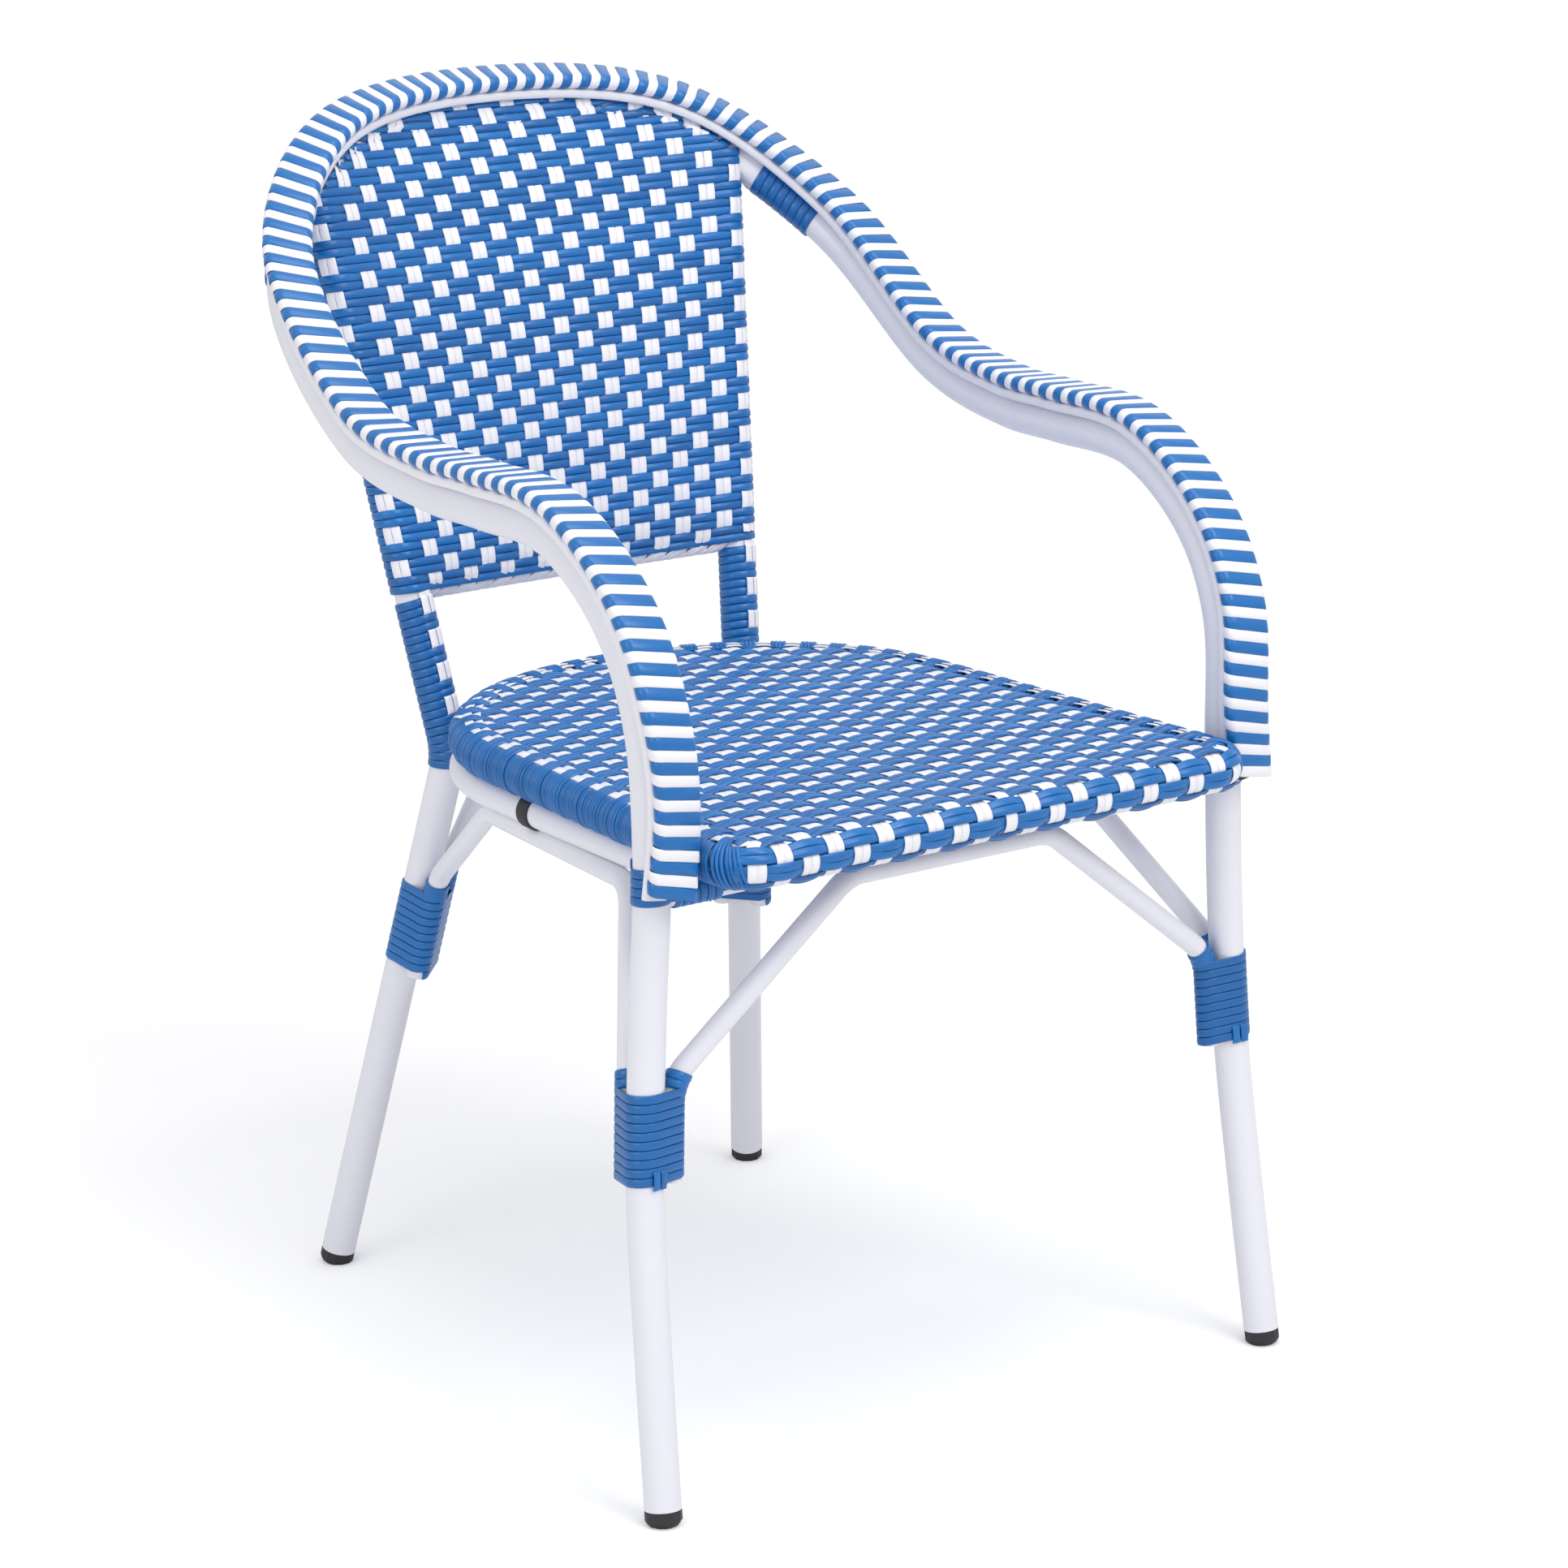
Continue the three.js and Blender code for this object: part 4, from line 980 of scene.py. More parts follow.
# %% Over and under along a row
ROW_STEP = ROW_PITCH * rise[2]
FIRST_ROW = BACK_RAIL_HEIGHT + 1.5
LAST_ROW = 28
WEFT_STEPS = 6
PAIR_OFFSET = 3.1
WRAP_END = math.radians(225)
SHEET_REACH = 192
LAST_SHARE = 1.5
LEAST_POINTS = 3
TOP_MARGIN = 4
EDGE_ANGLES = {-1: math.radians(45), 1: math.radians(15)}


def longest_run(mask):
    """First and last index of the longest unbroken run of true values."""
    edges = np.flatnonzero(np.diff(np.concatenate([[False], mask, [False]]).astype(int)))
    runs = edges.reshape(-1, 2)
    return max(runs, key=lambda run: run[1] - run[0]) if len(runs) else (0, 0)


def weft_wave(t, half):
    """Over and under along a row, where t is the distance from the middle along the surface."""
    side = np.sign(t)
    column = 2 * half / (COLUMNS - 1)
    second = half - column
    past = np.abs(t) - second
    edge = column + SHEET_FORWARD * np.where(side < 0, EDGE_ANGLES[-1], EDGE_ANGLES[1])
    share = np.where(past < edge, past / edge, np.minimum(1 + (past - edge) / column, LAST_SHARE))
    inner = np.cos(math.pi * (t / half + 1) / 2 * (COLUMNS - 1))
    return np.where(past < 0, inner, np.where(side < 0, -1, 1) * np.cos(math.pi * share))


# %% Blue pairs across the back
def weft(row, pair):
    """Path and facings of one blue strand across the back, or nothing where none of it shows."""
    height = FIRST_ROW + ROW_STEP * row + pair * PAIR_OFFSET * rise[2]
    centre = upright_at(height)
    around = height < top[2] - TOP_MARGIN
    reach = centre[0] + SHEET_FORWARD * WRAP_END if around else SHEET_REACH
    step = 2 * centre[0] / (COLUMNS - 1) / WEFT_STEPS
    t = np.linspace(-reach, reach, int(2 * reach / step) + 1)
    lift = WEFT_SWAY * flattened(weft_wave(t, centre[0]) * (-1) ** row)
    if not around:
        points, facings, shown = sheet(t, height, lift)
        first, last = longest_run(shown)
        return (points[first:last], facings[first:last]) if last - first > LEAST_POINTS else None
    side = np.sign(t)
    angle = np.clip(np.abs(t) - centre[0], 0, None) / SHEET_FORWARD
    points, facings, _ = sheet(np.clip(t, -centre[0], centre[0]), height, lift)
    out = -panel_facing * np.cos(angle)[:, None] + RIGHT * (side * np.sin(angle))[:, None]
    arm = np.stack([side, np.ones_like(t), np.ones_like(t)], axis=-1)
    wrapped = centre * arm + out * (SHEET_FORWARD + lift)[:, None]
    past = (angle > 0)[:, None]
    return np.where(past, wrapped, points), np.where(past, out, facings)


PAIR = (-1, 1)
wefts = [weft(row, pair) for row in range(LAST_ROW + 1) for pair in PAIR]
wefts = [path for path in wefts if path is not None]
sweep(
    "back_blue_strands", wefts, WEFT_THICKNESS, STRAND_WIDTH, blue_strand, ["back_weave"],
    squareness=WEFT_SQUARENESS,
)

# %% [markdown]
# Every white double strand runs down the front of the sheet and round the lower rail, where it drifts
# sideways by one column on its way under. That drift closes the gaps, so the lower edge is a white hem.
# The two outermost ones lie on the uprights, where the left one sits further round than the right one.

# %% White double strands up the back
WARP_STEPS = 6
DOUBLE_OFFSET = 3.2
HEM_SHIFT = 17
HEM_END = 230
HEM_STEP = 15
HEM_DRIFT = math.radians(25)
HEM_RADIUS = BACK_RAIL / 2 + 1.45
WHITE_WIDTH = STRAND_WIDTH + 0.3
WHITE_SQUARENESS = 4


def edge_warp(side, pair, heights, lift):
    """White strand that lies on an upright."""
    below = heights < top[2] - TOP_MARGIN
    heights, lift = heights[below], lift[below]
    angle = EDGE_ANGLES[side] + side * pair * DOUBLE_OFFSET / SHEET_FORWARD
    out = -panel_facing * math.cos(angle) + RIGHT * side * math.sin(angle)
    centre = upright_at(heights) * np.array([side, 1, 1])
    return centre + out * (SHEET_FORWARD + lift)[:, None], np.tile(out, (len(heights), 1))


def warp(column, pair):
    """Path and facings of one white strand, from under the lower rail up to the strip."""
    sign = (-1) ** column
    s = 2 * column / (COLUMNS - 1) - 1
    rows = np.arange(0, LAST_ROW + 1, 1 / WARP_STEPS)
    heights = FIRST_ROW + ROW_STEP * rows
    lift = -WARP_SWAY * flattened(np.cos(math.pi * rows) * sign)
    if abs(s) == 1:
        return edge_warp(int(s), pair, heights, lift)
    x = s * upright_at(heights)[:, 0] + pair * DOUBLE_OFFSET
    points, facings, shown = sheet(x, heights, lift)
    last = longest_run(shown)[1]
    turn = np.radians(np.arange(0, HEM_END + 1, HEM_STEP))
    flat, bow = flat_sheet(x[:1], np.full(1, BACK_RAIL_HEIGHT))
    out = -panel_facing * np.cos(turn)[:, None] - rise * np.sin(turn)[:, None]
    hem = flat + panel_facing * bow[:, None] + out * HEM_RADIUS
    hem -= RIGHT * (HEM_SHIFT * np.clip((turn - HEM_DRIFT) / QUARTER, 0, 1))[:, None]
    return np.concatenate([hem[:0:-1], points[:last]]), np.concatenate([out[:0:-1], facings[:last]])


warps = [warp(column, pair) for column in range(COLUMNS) for pair in PAIR]
sweep(
    "back_white_strands", warps, STRAND, WHITE_WIDTH, white_strand,
    squareness=WHITE_SQUARENESS,
)

# %% Lower rail of the back
BACK_RAIL_POINTS = 40
BACK_RAIL_SIDES = 20
rail_s = np.linspace(-1, 1, BACK_RAIL_POINTS)
rail_end = upright_at(BACK_RAIL_HEIGHT)
rail_line = place(
    rail_s * rail_end[0], rail_end[1] - shift_y + BACK_RAIL_BOW * (1 - rail_s ** 2), BACK_RAIL_HEIGHT
)
bar("back_lower_rail", rail_line, UP, BACK_RAIL, BACK_RAIL_SIDES)

# %% [markdown]
# Behind the strip the weave comes out again, goes down the rear of the arch and ends behind the sheet.
# These loops stand side by side, white behind each white column and blue between them.

# %% Loops behind the arch
LOOP_PITCH = 6.3
LOOP_END = math.radians(205)
LOOP_STEPS = 12
LOOP_THICKNESS = 1.6
LOOP_GAP = 0.2
COLUMN_SNAP = LOOP_PITCH / 2 + 1


def arch_loops():
    """Paths of the short loops from the strip to the rear of the sheet, by colour."""
    loops = {"white": [], "blue": []}
    lengths = path_lengths(arch_points)
    columns_x = (2 * np.arange(COLUMNS) / (COLUMNS - 1) - 1) * top[0]
    for length in np.arange(LOOP_PITCH, lengths[-1] - LOOP_PITCH, LOOP_PITCH):
        near = int(np.argmin(np.abs(lengths - length)))
        if abs(arch_points[near, 0]) > top[0] - TUBE / 2:
            continue
        turn = np.linspace(strip_angle[near] + STRIP_MARGIN, LOOP_END, LOOP_STEPS)
        out = arch_front[near] * np.cos(turn)[:, None] + arch_out[near] * np.sin(turn)[:, None]
        white = np.min(np.abs(columns_x - arch_points[near, 0])) < COLUMN_SNAP
        loops["white" if white else "blue"].append((arch_points[near] + out * SHEET_FORWARD, out))
    return loops


loops = arch_loops()
for name, finish in (("white", white_strand), ("blue", blue_strand)):
    sweep(f"arch_{name}_loops", loops[name], LOOP_THICKNESS, LOOP_PITCH - LOOP_GAP, finish)

# %% [markdown]
# ## The woven seat
# The seat is the same weave laid flat. Its white columns run from front to back and fan out a little to
# the front, where they roll over the edge. Along the sides and the back the blue strand goes over the rim
# so densely that it stands like shingles, about three millimetres apart.

# %% The seat's outline and its rolled rim
SEAT_TOP = 458
SEAT_THICKNESS = 31.5
SEAT_HALF_WIDTH = 207
SEAT_FRONT_HALF_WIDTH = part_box("seat_weave")[1].x / MM
SEAT_BACK = 168
SEAT_WAIST = -8
SEAT_CORNER = 38
WEAVE_DEPTH = 1.6
ROLL = SEAT_THICKNESS / 2
ROLL_HEIGHT = SEAT_TOP - ROLL
ROLL_MIDDLE = ROLL - WEAVE_DEPTH
WEAVE_HEIGHT = SEAT_TOP - WEAVE_DEPTH
FRONT_POINTS = 60
CORNER_POINTS = 59
SIDE_POINTS = 78
BACK_POINTS = 160
CORNER_LAST = FRONT_POINTS + CORNER_POINTS
BACK_FIRST = CORNER_LAST + SIDE_POINTS


def seat_outline():
    """Right half of the outline, from the middle of the front round to the middle of the back."""
    corner_x, corner_y = SEAT_FRONT_HALF_WIDTH - SEAT_CORNER, -SEAT_FRONT + SEAT_CORNER
    front = place(np.linspace(0, corner_x, FRONT_POINTS), -SEAT_FRONT, 0.0)
    turn = np.linspace(-QUARTER, 0, CORNER_POINTS + 1)[1:]
    corner = place(corner_x + SEAT_CORNER * np.cos(turn), corner_y + SEAT_CORNER * np.sin(turn), 0.0)
    down = np.linspace(0, 1, SIDE_POINTS + 2)[1:-1]
    side = place(
        SEAT_FRONT_HALF_WIDTH + (SEAT_HALF_WIDTH - SEAT_FRONT_HALF_WIDTH) * down,
        corner_y + (SEAT_WAIST - corner_y) * down, 0.0,
    )
    turn = np.linspace(0, QUARTER, BACK_POINTS)
    depth = SEAT_BACK - SEAT_WAIST
    back = place(SEAT_HALF_WIDTH * np.cos(turn), SEAT_WAIST + depth * np.sin(turn), 0.0)
    return np.concatenate([front, corner, side, back])


outline = seat_outline()
rim_lengths = path_lengths(outline)
corner_start = rim_lengths[FRONT_POINTS - 1]
outline_normals = np.cross(directions(outline), UP)
widest = int(np.argmax(outline[:, 0]))
print(f"seat: {2 * SEAT_FRONT_HALF_WIDTH:.0f} mm wide at the front, rim {rim_lengths[-1] * 2:.0f} mm round")


# %% Places on the rim
def outline_at(length, side=1):
    """Point and outward direction of the outline at lengths from the middle of the front."""
    flip = np.stack(np.broadcast_arrays(side, np.ones_like(length), 1.0), axis=-1)
    point, normal = (
        np.stack([np.interp(length, rim_lengths, values[:, k]) for k in range(3)], axis=-1)
        for values in (outline, outline_normals)
    )
    return point * flip, unit(normal) * flip


def roll(length, turn, lift, side=1):
    """Point and facing on the rolled rim. Turn 0 is its outermost line and a quarter turn its top."""
    point, normal = outline_at(length, side)
    out = normal * np.cos(turn)[:, None] + UP * np.sin(turn)[:, None]
    return point - normal * ROLL + UP * ROLL_HEIGHT + out * (ROLL_MIDDLE + lift)[:, None], out


def half_width(y, inset):
    """Half width of the seat at a y of the frame, less an inset."""
    ahead, behind = outline[FRONT_POINTS - 1:widest + 1], outline[widest:]
    front = np.interp(y, ahead[:, 1], ahead[:, 0])
    back = np.interp(y, behind[:, 1], behind[:, 0])
    return np.where(y < outline[widest, 1], front, back) - inset


print(f"half width beside the waist: {float(half_width(SEAT_WAIST + shift_y, 0)):.0f} mm")

# %% [markdown]
# Rows are counted along the surface, from the underside of the front edge, over the nose and back along
# the top, and then along the rim. One count for all of them keeps the weave in step with its edge.

# %% Rows and columns of the seat
SEAT_COLUMNS = 21
FRONT_PITCH = 20.4
BACK_PITCH = 19.0
SEAT_ROW = 12.3
NOSE_FIRST = 7.6
SEAT_WEFT_SWAY = 1.6
SEAT_WARP_SWAY = 0.7
SEAT_FLATNESS = 0.8
SEAT_DIP = 2.0
DIP_FORWARD = 60
DIP_HALF_LENGTH = 250
DIP_POWER = 4
RIM_INSET = 16.5
SEAT_STEP = SEAT_ROW / WARP_STEPS
nose_arc = math.pi * ROLL_MIDDLE
nose_y = -SEAT_FRONT + ROLL + shift_y
waist_y = SEAT_WAIST + shift_y
waist_length = float(np.interp(waist_y, outline[FRONT_POINTS:, 1], rim_lengths[FRONT_POINTS:]))


def column_pitch(y):
    """Distance between white columns at a y of the frame: they fan out to the front."""
    share = np.clip((waist_y - y) / (waist_y - nose_y), 0, 1)
    return BACK_PITCH + (FRONT_PITCH - BACK_PITCH) * share


def dip(x, y):
    """How far the middle of the seat hangs below its rim."""
    across = 1 - np.clip(np.abs(x) / SEAT_HALF_WIDTH, 0, 1) ** DIP_POWER
    along = 1 - np.clip(np.abs(y - waist_y + DIP_FORWARD) / DIP_HALF_LENGTH, 0, 1) ** DIP_POWER
    return SEAT_DIP * across * along


def rows_at(arc):
    """Row number at a length of arc measured from the underside of the front edge."""
    return (arc - NOSE_FIRST) / SEAT_ROW


waist_row = rows_at(nose_arc + waist_y - nose_y)
print(f"the waist lies on row {waist_row:.1f}")

# %% White columns of the seat
NOSE_START = -10
NOSE_SETTLE = 45
COLUMN_OVERRUN = 2
MIDDLE_COLUMN = SEAT_COLUMNS // 2


def warp_wave(rows, sign):
    """Lift of a white strand at row numbers: over one row and under the next."""
    return -SEAT_WARP_SWAY * flattened(np.cos(math.pi * rows) * sign)


def column_nose(k, pair):
    """The part of a white strand that comes up over the front edge."""
    side = 1 if k >= 0 else -1
    arc = np.arange(NOSE_START, nose_arc, SEAT_STEP)
    turn = arc / ROLL_MIDDLE - QUARTER
    start = np.interp(abs(k) * FRONT_PITCH, outline[:CORNER_LAST, 0], rim_lengths[:CORNER_LAST])
    length = np.full(len(arc), start + pair * DOUBLE_OFFSET * side)
    wave = warp_wave(rows_at(arc), (-1) ** k)
    points, facings = roll(length, np.clip(turn, -QUARTER, QUARTER), wave, side)
    points[:, 1] += np.where(turn < -QUARTER, (-QUARTER - turn) * ROLL_MIDDLE, 0)
    return points, facings


def seat_column(k, pair):
    """Path and facings of one white strand, up over the front edge and back along the top."""
    nose, nose_facings = column_nose(k, pair)
    back_end = np.interp(-abs(k) * BACK_PITCH, -outline[BACK_FIRST:, 0], outline[BACK_FIRST:, 1])
    y = np.arange(nose[-1, 1] + SEAT_STEP, back_end - RIM_INSET + COLUMN_OVERRUN, SEAT_STEP)
    x = k * column_pitch(y) + pair * DOUBLE_OFFSET
    x += (nose[-1, 0] - x[0]) * (1 - np.clip((y - y[0]) / NOSE_SETTLE, 0, 1)) ** 2
    wave = warp_wave(rows_at(nose_arc + y - nose_y), (-1) ** k)
    points = np.stack([x, y, WEAVE_HEIGHT + wave - dip(x, y)], axis=-1)
    return np.concatenate([nose, points]), np.concatenate([nose_facings, np.tile(UP, (len(y), 1))])


# %% [markdown]
# The outermost white column doesn't run straight. It follows the outline round to the middle of the back,
# so that white squares stand along the whole edge.

# %% Rim column
RIM_OVERLAP = 20
RIM_SETTLE = 60
RIM_LEAN = 0.25


def rim_column(side, pair):
    """Path and facings of one strand of the outermost white column, which follows the rim."""
    nose, nose_facings = column_nose(side * MIDDLE_COLUMN, pair)
    corner_end = corner_start + SEAT_CORNER * QUARTER
    length = np.arange(corner_end - RIM_OVERLAP, rim_lengths[-1], SEAT_STEP)
    point, normal = outline_at(length, side)
    inset = RIM_INSET - pair * side * DOUBLE_OFFSET
    wave = warp_wave(waist_row + (length - waist_length) / SEAT_ROW, 1)
    points = point - normal * inset + UP * (WEAVE_HEIGHT + wave)[:, None]
    settle = (1 - np.clip((length - length[0]) / RIM_SETTLE, 0, 1)) ** 2
    points[:, :2] += (nose[-1, :2] - points[0, :2]) * settle[:, None]
    keep = points[:, 1] > nose[-1, 1] + 1
    points, normal = points[keep], normal[keep]
    tilted = unit(UP + RIM_LEAN * normal)
    return np.concatenate([nose, points]), np.concatenate([nose_facings, tilted])


inner = range(1 - MIDDLE_COLUMN, MIDDLE_COLUMN)
columns = [seat_column(k, pair) for k in inner for pair in PAIR]
columns += [rim_column(side, pair) for side in SIDES.values() for pair in PAIR]
sweep(
    "seat_white_strands", columns, STRAND, WHITE_WIDTH, white_strand,
    squareness=WHITE_SQUARENESS,
)

# %% [markdown]
# The first three pairs of blue strand lie on the rolled front edge, and their two strands lie closer
# there, because the roll spreads them. The others run straight across, and their ends fall under the rim.

# %% Blue pairs of the seat
NOSE_ROWS = 3
NOSE_PAIR_SHARE = 0.9
CORNER_REACH = 33
NOSE_POINTS = 230
LEAST_ROW_POINTS = 8
FALL_LENGTH = 5
FALL_DEPTH = 1.8


def seat_row(row, pair):
    """Path and facings of one blue strand, on the rolled front edge or straight across the top."""
    offset = PAIR_OFFSET * (NOSE_PAIR_SHARE if row < NOSE_ROWS else 1)
    arc = NOSE_FIRST + SEAT_ROW * row + pair * offset
    sign = (-1) ** row
    if row < NOSE_ROWS:
        length = np.linspace(-corner_start - CORNER_REACH, corner_start + CORNER_REACH, NOSE_POINTS)
        side = np.where(length < 0, -1.0, 1.0)
        x = np.interp(np.abs(length), rim_lengths, outline[:, 0]) * side
        wave = flattened(np.cos(math.pi * x / FRONT_PITCH) * sign, SEAT_FLATNESS)
        turn = np.full(NOSE_POINTS, arc / ROLL_MIDDLE - QUARTER)
        return roll(np.abs(length), turn, SEAT_WEFT_SWAY * wave, side)
    y = nose_y + arc - nose_arc
    reach = float(half_width(np.array(y), RIM_INSET))
    pitch = column_pitch(np.array(y))
    x = np.linspace(-reach, reach, max(int(2 * reach / pitch * WEFT_STEPS), LEAST_ROW_POINTS))
    wave = SEAT_WEFT_SWAY * flattened(np.cos(math.pi * x / pitch) * sign, SEAT_FLATNESS)
    fall = np.clip((np.abs(x) - reach + FALL_LENGTH) / FALL_LENGTH, 0, 1) ** 2 * FALL_DEPTH
    points = np.stack([x, np.full(len(x), y), WEAVE_HEIGHT + wave - dip(x, y) - fall], axis=-1)
    return points, np.tile(UP, (len(x), 1))


SEAT_ROWS = int((SEAT_BACK + shift_y - RIM_INSET - nose_y) / SEAT_ROW) + NOSE_ROWS
rows = [seat_row(row, pair) for row in range(SEAT_ROWS) for pair in PAIR]
sweep(
    "seat_blue_strands", rows, WEFT_THICKNESS, STRAND_WIDTH, blue_strand, ["seat_weave"],
    squareness=WEFT_SQUARENESS,
)
print("rows of blue pairs:", SEAT_ROWS)

# %% [markdown]
# At the rim each blue row goes on over the edge and down, with two more strands between. Every second
# group of four starts inside the rim's white column and hides it. The next group starts under its outer
# edge, so a white square shows there. At the front corners the strands slant forward as they go down.
# Each strand is wound a little looser or tighter than the last one, so the side isn't quite even.

# %% Shingled rim of the seat
SHINGLE_WIDTH = 3.15
SHINGLE_THICKNESS = 2.8
SHINGLES_PER_ROW = 4
SHINGLE_TILT = math.radians(12)
SHINGLE_STEPS = 24
FIRST_SHINGLE_ROW = 3
OVER_REACH = 9.5
UNDER_REACH = -5.5
CORNER_SLANT = 24
SLANT_FADE = 90
SLANT_START = 8
UNDERSIDE_TURN = -QUARTER - 0.3
OVER_TURN = QUARTER - 0.2
TUCK_TURN = QUARTER - 0.5
OVER_LIFT = 1.4
OVER_SIDE_LIFT = 0.8
TUCK_LIFT = -0.6
LOOSENESS = 0.3
START_DROP = 2.2
DROP_START = 0.25
DROP_LENGTH = 0.4
SHINGLE_SQUARENESS = 2.1


def shingle(index, side):
    """Path and facings of one blue strand over the rim and down to the underside."""
    row = FIRST_SHINGLE_ROW - 0.5 + (index + 0.5) / SHINGLES_PER_ROW
    length = waist_length + (row - waist_row) * SEAT_ROW
    over = round(row) % 2 == 0
    inside = (OVER_REACH if over else UNDER_REACH) / ROLL_MIDDLE
    turn = np.linspace(QUARTER + inside, UNDERSIDE_TURN, SHINGLE_STEPS)
    progress = (turn[0] - turn) / math.pi
    slant = CORNER_SLANT * np.clip(1 - (length - corner_start) / SLANT_FADE, 0, 1) * progress
    loose = random.uniform(-LOOSENESS, LOOSENESS)
    if over:
        lift = np.where(turn > OVER_TURN, OVER_LIFT, OVER_SIDE_LIFT + loose)
        lift -= START_DROP * np.clip((turn - QUARTER - DROP_START) / DROP_LENGTH, 0, 1)
    else:
        lift = np.where(turn > TUCK_TURN, TUCK_LIFT, loose)
    lengths = np.clip(length - slant, corner_start + SLANT_START, None)
    points, out = roll(lengths, np.clip(turn, -QUARTER, QUARTER), lift, side)
    normal = outline_at(lengths, side)[1]
    beyond = np.clip(turn - QUARTER, 0, None) + np.clip(-QUARTER - turn, 0, None)
    points -= normal * (beyond * ROLL_MIDDLE)[:, None]
    forward = np.cross(UP, normal) * side
    return points, out * math.cos(SHINGLE_TILT) + forward * math.sin(SHINGLE_TILT)


last_row = waist_row + (rim_lengths[-1] - waist_length) / SEAT_ROW
shingle_count = math.ceil((last_row - FIRST_SHINGLE_ROW + 0.5) * SHINGLES_PER_ROW)
shingles = [shingle(index, side) for side in SIDES.values() for index in range(shingle_count)]
sweep(
    "seat_rim_strands", shingles, SHINGLE_THICKNESS, SHINGLE_WIDTH, blue_strand,
    squareness=SHINGLE_SQUARENESS,
)

# %% [markdown]
# ## Windings at the joints
# Where tubes meet, the chair is bound with flat strand: at the braces, at the top of each front leg, on
# the uprights below the back and beside each end of the arch. A winding's path is worked out from the
# bars inside it. At each angle the strand touches the bar that reaches furthest, as a taut cord does.

# %% Winding helper
WIND = 1.4
WIND_WIDTH = 6.1
WIND_PITCH = 6.2
WIND_SQUARENESS = 2.6
WIND_LIFT = 0.1
TURN_STEPS = 24
CROSSING_REACH = 34


def line_frame(line, start, reference, sign=1):
    """Place and three directions at a distance along a line, counted from a start and either way."""
    def at(length):
        here = start + sign * length
        point, ahead, behind = along_path(line, np.array([here, here + PROBE, here - PROBE]))
        direction = unit(ahead - behind) * sign
        across = across_from(direction, reference)
        return point, across, np.cross(direction, across), direction
    return at


def bars_near(frame_at, length, radius, lines=(), bar_radius=BRACE / 2):
    """Circles of the bars in the plane of a frame: the main one and each line that crosses near it."""
    origin, across, aside, direction = frame_at(length)
    circles = [(0.0, 0.0, radius)]
    for line in lines:
        heights = (line - origin) @ direction
        for i in np.flatnonzero(heights[:-1] * heights[1:] < 0):
            share = heights[i] / (heights[i] - heights[i + 1])
            arm = line[i] + (line[i + 1] - line[i]) * share - origin
            if np.linalg.norm(arm) < CROSSING_REACH:
                circles.append((arm @ across, arm @ aside, bar_radius))
    return circles


def taut_point(frame_at, length, angle, circles, lift):
    """Where a cord round the circles lies at an angle, and the direction in which it faces there."""
    origin, across, aside, direction = frame_at(length)
    c, s = math.cos(angle), math.sin(angle)
    x, y, radius = max(circles, key=lambda circle: circle[0] * c + circle[1] * s + circle[2])
    out = across * c + aside * s
    return origin + across * x + aside * y + out * (radius + WIND / 2 + lift), out


# %% Turns of a winding
def winding(frame_at, turns, radius, lines=(), pitch=WIND_PITCH, lift=lambda length, angle: WIND_LIFT):
    """Path of a strand that climbs a bar turn by turn, and takes in the lines that cross near it."""
    path = []
    for i in range(int(turns * TURN_STEPS) + 1):
        angle = math.pi + 2 * math.pi * i / TURN_STEPS
        length = pitch * i / TURN_STEPS
        circles = bars_near(frame_at, length, radius, lines)
        path.append(taut_point(frame_at, length, angle, circles, lift(length, angle)))
    points, facings = zip(*path)
    return np.array(points), np.array(facings)


def wind(name, paths, width=WIND_WIDTH):
    """Sweeps the blue strand of a winding and puts it in its node's place."""
    sweep(name + "_strand", paths, WIND, width, blue_strand, [name],
          squareness=WIND_SQUARENESS)


def frames_up_leg(side, height):
    """Frames up a rear leg and its upright, counted from a height."""
    leg_line = rear_line * (MIRROR if side < 0 else 1)
    return line_frame(leg_line, length_at_height(leg_line, height), BACK)


def frames_along_hoop(side, start, sign):
    """Frames along the hoop, counted from a distance past the foot of that side."""
    return line_frame(hoop_points, start if side < 0 else HOOP_LENGTH - start, BAND_FACING, sign)


print(f"a strand of {WIND_WIDTH} mm climbs {WIND_PITCH} mm a turn")

# %% [markdown]
# The joints of the braces have about ten turns round the leg and both brace ends, a collar of short turns
# that climbs each brace, and a small tie of two short strands that locks the lower edge.

# %% Bindings of the braces
LEG_TURNS = 10
COLLAR_TURNS = 2.4
COLLAR_PITCH = 5.4
COLLAR_START = 5
TIE_START = 0.3 - WIND_WIDTH / 2
TIE_LENGTH = 10
TIE_OFFSET = 3.3
TIE_STEPS = 8
TIE_END = 1
TIE_LIFT = WIND * 0.9
TIE_END_LIFT = 0.4
TIE_INWARD = 0.2


def tie(frame_at, lines, toward, sideways):
    """A short strand along the leg, over the lower turns of a binding."""
    path = []
    for length in np.linspace(TIE_START, TIE_LENGTH, TIE_STEPS):
        origin, across, aside, direction = frame_at(length)
        angle = math.atan2(toward @ aside, toward @ across)
        circles = bars_near(frame_at, max(length, 0.0), TUBE / 2, lines)
        at_end = abs(length - TIE_LENGTH) < TIE_END or length < 0
        lift = TIE_END_LIFT if at_end else TIE_LIFT
        point, out = taut_point(frame_at, length, angle, circles, lift)
        path.append((point + np.cross(direction, out) * sideways, out))
    points, facings = zip(*path)
    return np.array(points), np.array(facings)


